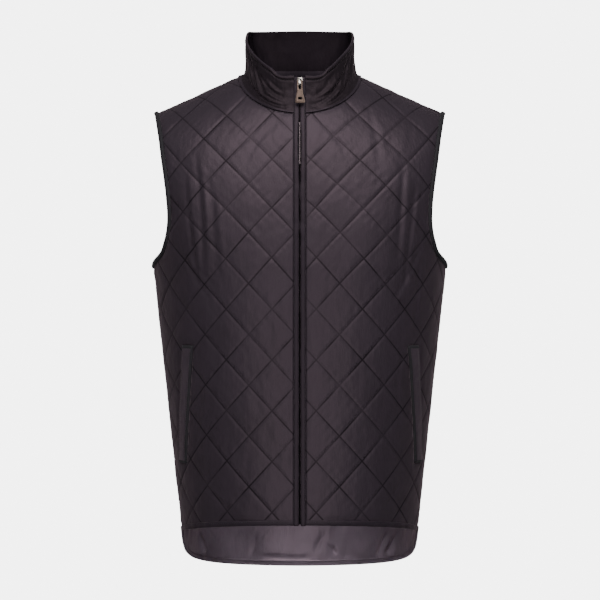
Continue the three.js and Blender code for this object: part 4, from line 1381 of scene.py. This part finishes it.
def build_strips(sizes):
    """The two plain strips beside the zip, folded at their inner edges."""
    points, outs = centre_run(zip_sizes.strip_below, 0)
    part, lift = round_section(0, 1, 0, strip.thick, corners=20, squareness=0.7).T
    upper = lift > strip.thick * 0.6
    length = length_along(points)
    for side_name, side in (("left", 1), ("right", -1)):
        # Each side reads the waves 3 mm further on, so that its edge doesn't mirror the other's.
        inner = slit_width(points[:, 2] + 3 * side, sizes)[:, None]
        across = mix(inner, zip_sizes.strip_outer, part[None])
        ripple = 0.35 * line_noise(length, 12, 70 + side) + 0.2 * line_noise(length, 5, 72)
        rise = lift[None] + ripple[:, None] * upper
        loops = points[:, None] + outs[:, None] * rise[..., None]
        loops[..., 0] = side * across
        faces = swept_faces(*loops.shape[:2], False)
        piece = lay_mesh("strip_" + side_name, loops.reshape(-1, 3), faces, [finishes["plain"]])
        face_outwards(piece)
        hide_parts("zip_strip_" + side_name)
        line = points + outs * strip.stitch_out
        line[:, 0] = side * strip.stitch_across
        lay_stitches("strip_stitches_" + side_name, [(line[4:-6], outs[4:-6])])


def build_teeth(sizes):
    """The zip's meshed teeth, alternately from each side, on the two edges of its tape.

    They show most in the stretch under the tab, where the strips stand well apart. There they
    stand a little further out and take the lit metal; the others take a near-black copy of it,
    painted shade in the narrow slit.
    polished there and stand a little further out.
    """
    points, outs = centre_run(zip_sizes.chain_below, zip_sizes.top_drop)
    at = np.arange(chain.first, length_along(points)[-1] - chain.top_gap, sizes.tooth_pitch / 2)
    centre, out, ahead = frames_at(points, outs, at)
    bare = stretch(centre[:, 2:], *bare_teeth)
    centre = centre + out * (chain.bare_lift * bare)
    side = np.where(np.arange(len(at)) % 2, 1.0, -1.0)
    corners = np.array(
        [
            (across, along, tall)
            for low, high, half, tall in tooth_rings
            for across, along in ((low, -half), (high, -half), (high, half), (low, half))
        ]
    )
    teeth = (
        centre[:, None]
        + ahead[:, None] * corners[None, :, 1:2]
        + out[:, None] * corners[None, :, 2:]
    )
    teeth[..., 0] = side[:, None] * corners[None, :, 0]
    lower = np.arange(4)
    ring = np.stack([lower, (lower + 1) % 4, (lower + 1) % 4 + 4, lower + 4], axis=-1)
    one = np.vstack([ring, ring + 4, [[0, 3, 2, 1]], [[8, 9, 10, 11]]])
    faces = one[None] + np.arange(len(at))[:, None, None] * len(corners)
    # Teeth outside the bare stretch take the near-black copy of the metal, painted shade.
    in_light = bare[:, 0] > 0.5
    band = points[:, None] + outs[:, None] * tape_section[None, :, 1:]
    band[..., 0] = tape_section[:, 0]
    band_faces = np.vstack(swept_faces(*band.shape[:2], False)) + len(at) * len(corners)
    piece = lay_mesh(
        "zip_teeth",
        np.vstack([teeth.reshape(-1, 3), band.reshape(-1, 3)]),
        [faces[in_light].reshape(-1, 4), faces[~in_light].reshape(-1, 4), band_faces],
        [finishes["teeth"], finishes["dull_teeth"], finishes["zip_tape"]],
    )
    face_outwards(piece)
    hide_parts("zip_chain")


# The tab's hinge in millimetres, and heights above it of the end, slot, neck and eye, drawn again.
hinge = np.array([0, -92.555, -26.571])
tab_heights = [-27.1, -21.9, -18.3, -8.1, -6.1, -0.9, 0.9]
drawn_heights = [-33.6, -28.6, -24.6, -15.4, -13.4, -0.9, 0.9]


def long_tab(across, up, raised):
    """A longer, narrower tab, with a long eye and a narrow slot."""
    eye = (np.abs(across) < 1.9) & (up > -7)
    slot = (np.abs(across) < 4) & (up < -17) & (up > -25)
    wide = np.select([eye, slot], [1.25, 0.77], 0.94)
    return across * wide, np.interp(up, tab_heights, drawn_heights), raised


# The bail of the solid slider round the hinge, in millimetres: half its width, where its lower part
# begins behind and above, its face and its lower end. Then how much wider, longer and prouder it is.
bail = Sizes(half=1.3, behind=-1.2, top=-1.0, face=2.0, end=-2.2, wider=1.4, longer=2.3, prouder=1.3)


def bell_bail(across, up, raised):
    """The slider's bail spread down and out as a bell, whose face leans up towards the light."""
    lower = (np.abs(across) < bail.half) & (raised > bail.behind) & (up < bail.top)
    face = lower & (raised > bail.face)
    end = face | (lower & (up < bail.end))
    across = across * np.where(lower, bail.wider, 1)
    return across, up - np.where(end, bail.longer, 0), raised + np.where(face, bail.prouder, 0)


def corner_points(corners):
    """Places of a mesh's corners, in millimetres."""
    return np.array([corner.co for corner in corners]) / MM


def soften_metal(name, node, body, width, redrawn, finish):
    """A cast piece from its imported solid, redrawn in its own plane, with its edges rounded."""
    shape = bmesh.new()
    shape.from_mesh(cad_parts[node].data)
    points = corner_points(shape.verts)
    # The plane runs down from the hinge to the middle of the tab's lowest 2 mm.
    tab_points = corner_points(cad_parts["pull_tab"].data.vertices)
    lowest = tab_points[:, 2] < tab_points[:, 2].min() + 2
    down = unit(tab_points[lowest].mean(axis=0) - hinge)
    right = np.array([1.0, 0, 0])
    out = np.cross(down, right)
    across, up, raised = ((points - hinge) @ np.stack([right, -down, out], axis=-1)).T
    across, up, raised = redrawn(across, up, raised)
    moved = hinge + across[:, None] * right - up[:, None] * down + raised[:, None] * out
    for vertex, place in zip(shape.verts, moved * MM):
        vertex.co = place
    bmesh.ops.remove_doubles(shape, verts=shape.verts, dist=1e-6)
    bmesh.ops.dissolve_limit(shape, angle_limit=0.02, verts=shape.verts, edges=shape.edges)
    mesh = bpy.data.meshes.new(name)
    shape.to_mesh(mesh)
    shape.free()
    mesh.materials.clear()
    mesh.materials.append(finishes[finish])
    piece = new_object(name, mesh)
    bevel = piece.modifiers.new("Cast edges", "BEVEL")
    bevel.width, bevel.segments, bevel.limit_method = width, 3, "ANGLE"
    bevel.harden_normals = True
    mesh.polygons.foreach_set("use_smooth", np.ones(len(mesh.polygons), bool))
    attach(piece, body)
    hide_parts(node)


# The welts' underside and their outside at its edges, both over the form, over what width from an
# edge the outside rises (it begins already raised), and the groove of the stitches.
welt_form = Sizes(
    floor=0.5, base=1.2, rise_from=-1.5, rise_full=3, stitch_in=4, groove_half=0.9, groove_depth=0.8
)


def build_welts(sizes):
    """The slanted pocket welts: a folded band with a stitched line inside each edge and end bars."""
    rows, columns = np.linspace(0, 1, 90), np.linspace(0, 1, 17)
    for side_name, side in (("left", 1), ("right", -1)):
        low_inner, low_outer, high_outer, high_inner = welt_corners(side_name)
        inner = mix(low_inner, high_inner, rows[:, None])
        outer = mix(low_outer, high_outer, rows[:, None])
        places = mix(inner[:, None], outer[:, None], columns[None, :, None])
        along = rows[:, None] * np.linalg.norm(high_inner - low_inner)
        across = columns[None] * welt.width
        edge = np.minimum(across, welt.width - across)
        edge = np.minimum(edge, np.minimum(along, along[-1] - along))
        crown = smooth_step(edge, welt_form.rise_from, welt_form.rise_full)
        groove = welt_form.groove_depth * bell(edge, welt_form.stitch_in, welt_form.groove_half)
        pucker = soft_noise(across, along * 1.4, 8, 80 + side) * 0.35
        pucker = pucker + soft_noise(across * 0.6, along, 15, 82) * 0.5
        pucker = pucker * smooth_step(edge, 0, welt_form.stitch_in)
        lift = welt_form.base + sizes.rise * crown - groove + pucker
        x, y = places[..., 0] * side, places[..., 1]
        top, under = front.hang(x, y, lift), front.hang(x, y, np.full_like(lift, welt_form.floor))
        loops = np.concatenate([top, under[:, ::-1]], axis=1)
        faces = swept_faces(len(rows), loops.shape[1], False)
        sides, ends = faces[0], faces[1:]
        column, row = sides[:, 0] % loops.shape[1], sides[:, 0] // loops.shape[1]
        # The welt's rim, underside and ends take the near-black binding tape: painted shade round the welt.
        shaded_rim = (column < 2) | (column > len(columns) - 4) | (row < 2) | (row > len(rows) - 4)
        groups = [sides[~shaded_rim], np.vstack([sides[shaded_rim], *ends])]
        cloths = [finishes["welt"], finishes["binding"]]
        piece = lay_mesh("welt_" + side_name, loops.reshape(-1, 3), groups, cloths)
        face_outwards(piece)
        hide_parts("pocket_welt_" + side_name)
        points, outs = front.read(x, y)
        raised = points + outs * (lift + 0.1)[..., None]
        # The fourth column from each side, and the third row from each end.
        rows_of_stitches = [(raised[3:-3, 3], outs[3:-3, 3]), (raised[3:-3, -4], outs[3:-3, -4])]
        rows_of_stitches += [(raised[i, 2:-2], outs[i, 2:-2]) for i in (2, -3)]
        lay_stitches("welt_stitches_" + side_name, rows_of_stitches)


yoke_seam_height = -200
# Cells of the fronts' and the back's grids to one repeat of the quilting.
front_cells, back_cells = 28, 24


def build_shell(sizes):
    """Both quilted fronts, the yoke and the quilted back."""
    outline = front_outline()
    slots = [welt_corners("left", -SEAM_LAP), flipped(welt_corners("right", -SEAM_LAP))[::-1]]
    holes = [even_run(np.vstack([slot, slot[:1]]), OUTLINE_STEP)[:-1] for slot in slots]
    fronts = (
        ("front_left", outline, holes[0], 11),
        ("front_right", flipped(outline)[::-1], holes[1], 12),
    )
    for name, cut, hole, seed in fronts:
        creases = creases_on(front, front_creases[name])
        start = quilt_start[name]
        piece = quilted_panel(name, front, [cut, hole], start, front_cells, creases, sizes, seed)
    whole = back_outline()
    seam = back.flat_place(0, yoke_seam_height)[1]
    creases = creases_on(back, back_creases)
    for name, side, seed in (("back", -1, 13), ("back_yoke", 1, 14)):
        cut = cut_at(whole, seam - side * SEAM_LAP / 2, side)
        start = quilt_start["back"]
        piece = quilted_panel(name, back, [cut], start, back_cells, creases, sizes, seed)


def cut_at(outline, level, side):
    """The stretch of an outline above a level (side 1) or below it (side -1)."""
    ends = np.roll(outline, -1, axis=0)
    crosses = (outline[:, 1] > level) != (ends[:, 1] > level)
    rows = []
    for start, end, crossing in zip(outline, ends, crosses):
        if (start[1] - level) * side > 0:
            rows.append(start)
        if crossing:
            rows.append(mix(start, end, (level - start[1]) / (end[1] - start[1])))
    return even_run(np.array(rows + rows[:1]), OUTLINE_STEP)[:-1]


def soft_box(name, place, target, size, power):
    """A wide soft box aimed at a point."""
    light = bpy.data.lights.new(name, "AREA")
    light.shape, light.size, light.size_y, light.energy = "RECTANGLE", *size, power
    lamp = new_object(name, light)
    lamp.location = place
    lamp.rotation_euler = (Vector(target) - Vector(place)).to_track_quat("-Z", "Y").to_euler()
    return lamp


def build_stage(stage):
    """The camera, the lights and a paper sweep under and behind the vest."""
    # At 3 m this lens gives 1.5 mm to a pixel of a 600-pixel frame, as in the photograph.
    camera = new_object("Camera", bpy.data.cameras.new("Camera"))
    camera.data.lens, camera.data.sensor_width = 120, 36
    camera.location = (0.0004, -3.0, -0.345)
    camera.rotation_euler = (np.pi / 2, 0, 0)
    bpy.context.scene.camera = camera

    # The sweep's profile in metres: a level floor, a quarter circle and a wall well behind the vest.
    floor, wall, bend, top, half_width = -1.5, 4.6, 0.8, 9.0, 14.0
    turn = np.linspace(0, np.pi / 2, 24)
    profile = np.vstack(
        [
            [[-half_width, floor]],
            np.stack([wall - bend + bend * np.sin(turn), floor + bend - bend * np.cos(turn)], axis=-1),
            [[wall, top]],
        ]
    )
    points = np.array([[x, y, z] for y, z in profile for x in (-half_width, half_width)]) / MM
    step = np.arange(len(profile) - 1) * 2
    faces = np.stack([step, step + 1, step + 3, step + 2], axis=-1)
    finish = studio_paper("Background paper", "#E6E6E6", stage.glow)
    paper = new_object("paper_sweep", new_mesh("paper_sweep", points, [faces], [finish]))
    paper.visible_glossy = paper.visible_diffuse = False

    world = bpy.data.worlds.new("Studio")
    world.use_nodes = True
    world.node_tree.nodes["Background"].inputs["Color"].default_value = (1, 1, 1, 1)
    world.node_tree.nodes["Background"].inputs["Strength"].default_value = stage.ambient
    bpy.context.scene.world = world
    chest, lower_front, tail = (0, 0, -0.3), (0, 0, -0.6), (0, 0.13, -0.74)
    soft_box("Key light", (0.0, -1.9, 1.5), chest, (2.8, 1.2), stage.key)
    soft_box("Front fill", (0.0, -2.4, -1.0), lower_front, (1.2, 1.2), stage.fill)
    # Straight from behind, so that it lights the back alone and no face that the camera sees.
    soft_box("Back light", (0.0, 3.0, -0.2), chest, (1.4, 1.0), stage.back)
    # Narrowed, so that it lights the tail's lining and hardly reaches the fronts.
    low = soft_box("Low fill", (0.0, -0.25, -1.2), tail, (0.2, 0.2), stage.low)
    low.data.spread = np.radians(40)


def length_choice(name, description, millimetres, least=0.0):
    return FloatProperty(
        name=name,
        description=description,
        default=millimetres * MM,
        min=least * MM,
        soft_max=50 * MM,
        unit="LENGTH",
    )


class VestQuilting(bpy.types.PropertyGroup):
    """Sizes of the padded cloth."""

    loft: length_choice("Loft", "How far the padding swells out between the seams", 1)
    shoulder: length_choice(
        "Seam width", "How far from a seam the padding has risen by two thirds", 6, least=1
    )
    groove: length_choice(
        "Stitch groove", "Depth of the narrow groove that the thread pulls into each seam", 0.5
    )
    ridge: length_choice(
        "Seam ridge", "Height of the low ridge where the padding bunches beside a seam", 0.6
    )
    thin: length_choice(
        "Seam thickness", "Thickness of the cloth where it is sewn through", 1.6, least=0.8
    )
    pucker: length_choice("Pucker", "Height of the small puckers along the seams", 0.4)
    pucker_length: length_choice("Pucker length", "Distance from one pucker to the next", 12, least=4)
    crumple: length_choice("Crumple", "Height of the soft crumples between the seams", 0.45)
    edge_fade: length_choice(
        "Edge fade", "Width over which the padding thins towards a panel's edge", 9, least=1
    )


class VestTrim(bpy.types.PropertyGroup):
    """Sizes of the zip and of the pocket welts."""

    open_half: length_choice(
        "Slit", "Half the gap between the strips beside the zip where they stand apart", 1.2, least=0.2
    )
    tooth_pitch: length_choice(
        "Tooth pitch", "Distance from one tooth to the next on the same side", 2.5, least=1.5
    )
    rise: length_choice("Welt rise", "How far the pocket welts stand out of the cloth", 4.2)


def colour_choice(name, description, hex_colour):
    colour = linear(hex_colour)[:3]
    return FloatVectorProperty(
        name=name, description=description, default=colour, min=0, max=1, size=3, subtype="COLOR"
    )


def strength_choice(name, description, default, unit="NONE"):
    return FloatProperty(name=name, description=description, default=default, min=0, unit=unit)


class VestStage(bpy.types.PropertyGroup):
    """Strengths of the studio's lights."""

    key: strength_choice("Key light", "Power of the high front light", 50, "POWER")
    fill: strength_choice("Front fill", "Power of the low front light", 12, "POWER")
    back: strength_choice("Back light", "Power of the light behind", 45, "POWER")
    low: strength_choice("Low fill", "Power of the light under the hem", 0.13, "POWER")
    glow: strength_choice("Paper glow", "How brightly the background paper is lit through", 6.8)
    ambient: strength_choice("Ambient", "Strength of the even light all round", 0.09)


class VestColours(bpy.types.PropertyGroup):
    """Colours of the cloth and metal. Each cloth is mixed from a darker and a lighter one."""

    quilted: colour_choice("Quilted cloth", "Lighter colour of the quilted cloth", "#363039")
    quilted_dark: colour_choice("Quilted cloth, dark", "Darker colour of the quilted cloth", "#27232A")
    plain: colour_choice("Plain cloth", "Lighter colour of the welts, strips and hems", "#332D36")
    plain_dark: colour_choice("Plain cloth, dark", "Darker colour of the welts, strips and hems", "#231F25")
    # The collar's two colours are the cloth's own, darkened as painted shade.
    collar: colour_choice("Collar", "Lighter colour of the collar", "#1E1A20")
    collar_dark: colour_choice("Collar, dark", "Darker colour of the collar", "#1A1619")
    # The facing's colours are near-black, as painted shade inside the neck.
    facing: colour_choice("Collar facing", "Lighter colour of the collar's inside", "#282128")
    facing_dark: colour_choice("Collar facing, dark", "Darker colour of the collar's inside", "#0E0C0E")
    lining: colour_choice("Lining", "Lighter colour of the lining", "#80727F")
    lining_dark: colour_choice("Lining, dark", "Darker colour of the lining", "#4A434B")
    # The teeth in the light; those in the slit take a near-black copy, painted shade.
    teeth: colour_choice("Zip teeth", "Colour of the zip's teeth", "#A4969A")
    # The slider takes a lighter copy of this colour, a painted highlight, and not this colour itself.
    zinc: colour_choice("Slider and tab", "Colour of the pull tab; the slider takes a lighter copy as painted highlight", "#5C4E47")


def in_millimetres(group):
    """A group's lengths as plain numbers in millimetres."""
    return Sizes(**{name: getattr(group, name) / MM for name in group.__annotations__})


class VEST_OT_stage(bpy.types.Operator):
    """Set up the camera, the lights and the background, and make the vest's materials"""

    bl_idname = "vest.stage"
    bl_label = "Stage and finishes"

    def execute(self, context):
        colours = context.scene.vest_colours
        make_finishes({name: (*getattr(colours, name), 1.0) for name in colours.__annotations__})
        build_stage(context.scene.vest_stage)
        return {"FINISHED"}


class VEST_OT_shell(bpy.types.Operator):
    """Build the quilted fronts, back and yoke"""

    bl_idname = "vest.shell"
    bl_label = "Quilted shell"

    def execute(self, context):
        build_shell(in_millimetres(context.scene.vest_quilting))
        return {"FINISHED"}


class VEST_OT_collar(bpy.types.Operator):
    """Build the stand-up collar and its stitching"""

    bl_idname = "vest.collar"
    bl_label = "Collar"

    def execute(self, context):
        build_collar()
        return {"FINISHED"}


class VEST_OT_edges(bpy.types.Operator):
    """Build the armhole bindings and the hem bands"""

    bl_idname = "vest.edges"
    bl_label = "Bindings and hems"

    def execute(self, context):
        build_bindings()
        build_hems()
        return {"FINISHED"}


class VEST_OT_welts(bpy.types.Operator):
    """Build the pocket welts"""

    bl_idname = "vest.welts"
    bl_label = "Pocket welts"

    def execute(self, context):
        build_welts(in_millimetres(context.scene.vest_trim))
        return {"FINISHED"}


class VEST_OT_zip(bpy.types.Operator):
    """Build the strips beside the zip, its teeth, the slider and the pull tab"""

    bl_idname = "vest.zip"
    bl_label = "Zip"

    def execute(self, context):
        sizes = in_millimetres(context.scene.vest_trim)
        build_strips(sizes)
        build_teeth(sizes)
        # The slider takes the lightened copy of the zinc alloy, a painted highlight on its bell.
        soften_metal("zip_slider", "slider", "vest", 0.0005, bell_bail, "bail")
        soften_metal("zip_pull", "pull_tab", "tab", 0.0003, long_tab, "zinc")
        return {"FINISHED"}


class VEST_PT_panel(bpy.types.Panel):
    """Sizes, colours and steps of the vest"""

    bl_idname = "VEST_PT_panel"
    bl_label = "Quilted vest"
    bl_space_type = "VIEW_3D"
    bl_region_type = "UI"
    bl_category = "Vest"

    def draw(self, context):
        for group in (getattr(context.scene, name) for name in groups):
            box = self.layout.box()
            for name in group.__annotations__:
                box.prop(group, name)
        for operator in operators:
            self.layout.operator(operator.bl_idname)


groups = {
    "vest_quilting": VestQuilting,
    "vest_trim": VestTrim,
    "vest_colours": VestColours,
    "vest_stage": VestStage,
}
operators = [VEST_OT_stage, VEST_OT_shell, VEST_OT_collar, VEST_OT_edges, VEST_OT_welts, VEST_OT_zip]


def register():
    for made in [*groups.values(), *operators, VEST_PT_panel]:
        bpy.utils.register_class(made)
    for name, group in groups.items():
        setattr(bpy.types.Scene, name, PointerProperty(type=group))


def unregister():
    for name in groups:
        delattr(bpy.types.Scene, name)
    for made in reversed([*groups.values(), *operators, VEST_PT_panel]):
        bpy.utils.unregister_class(made)


def main():
    register()
    bpy.ops.vest.stage()
    bpy.ops.vest.shell()
    bpy.ops.vest.collar()
    bpy.ops.vest.edges()
    bpy.ops.vest.welts()
    bpy.ops.vest.zip()
    bpy.context.view_layer.update()


if __name__ == "__main__":
    main()
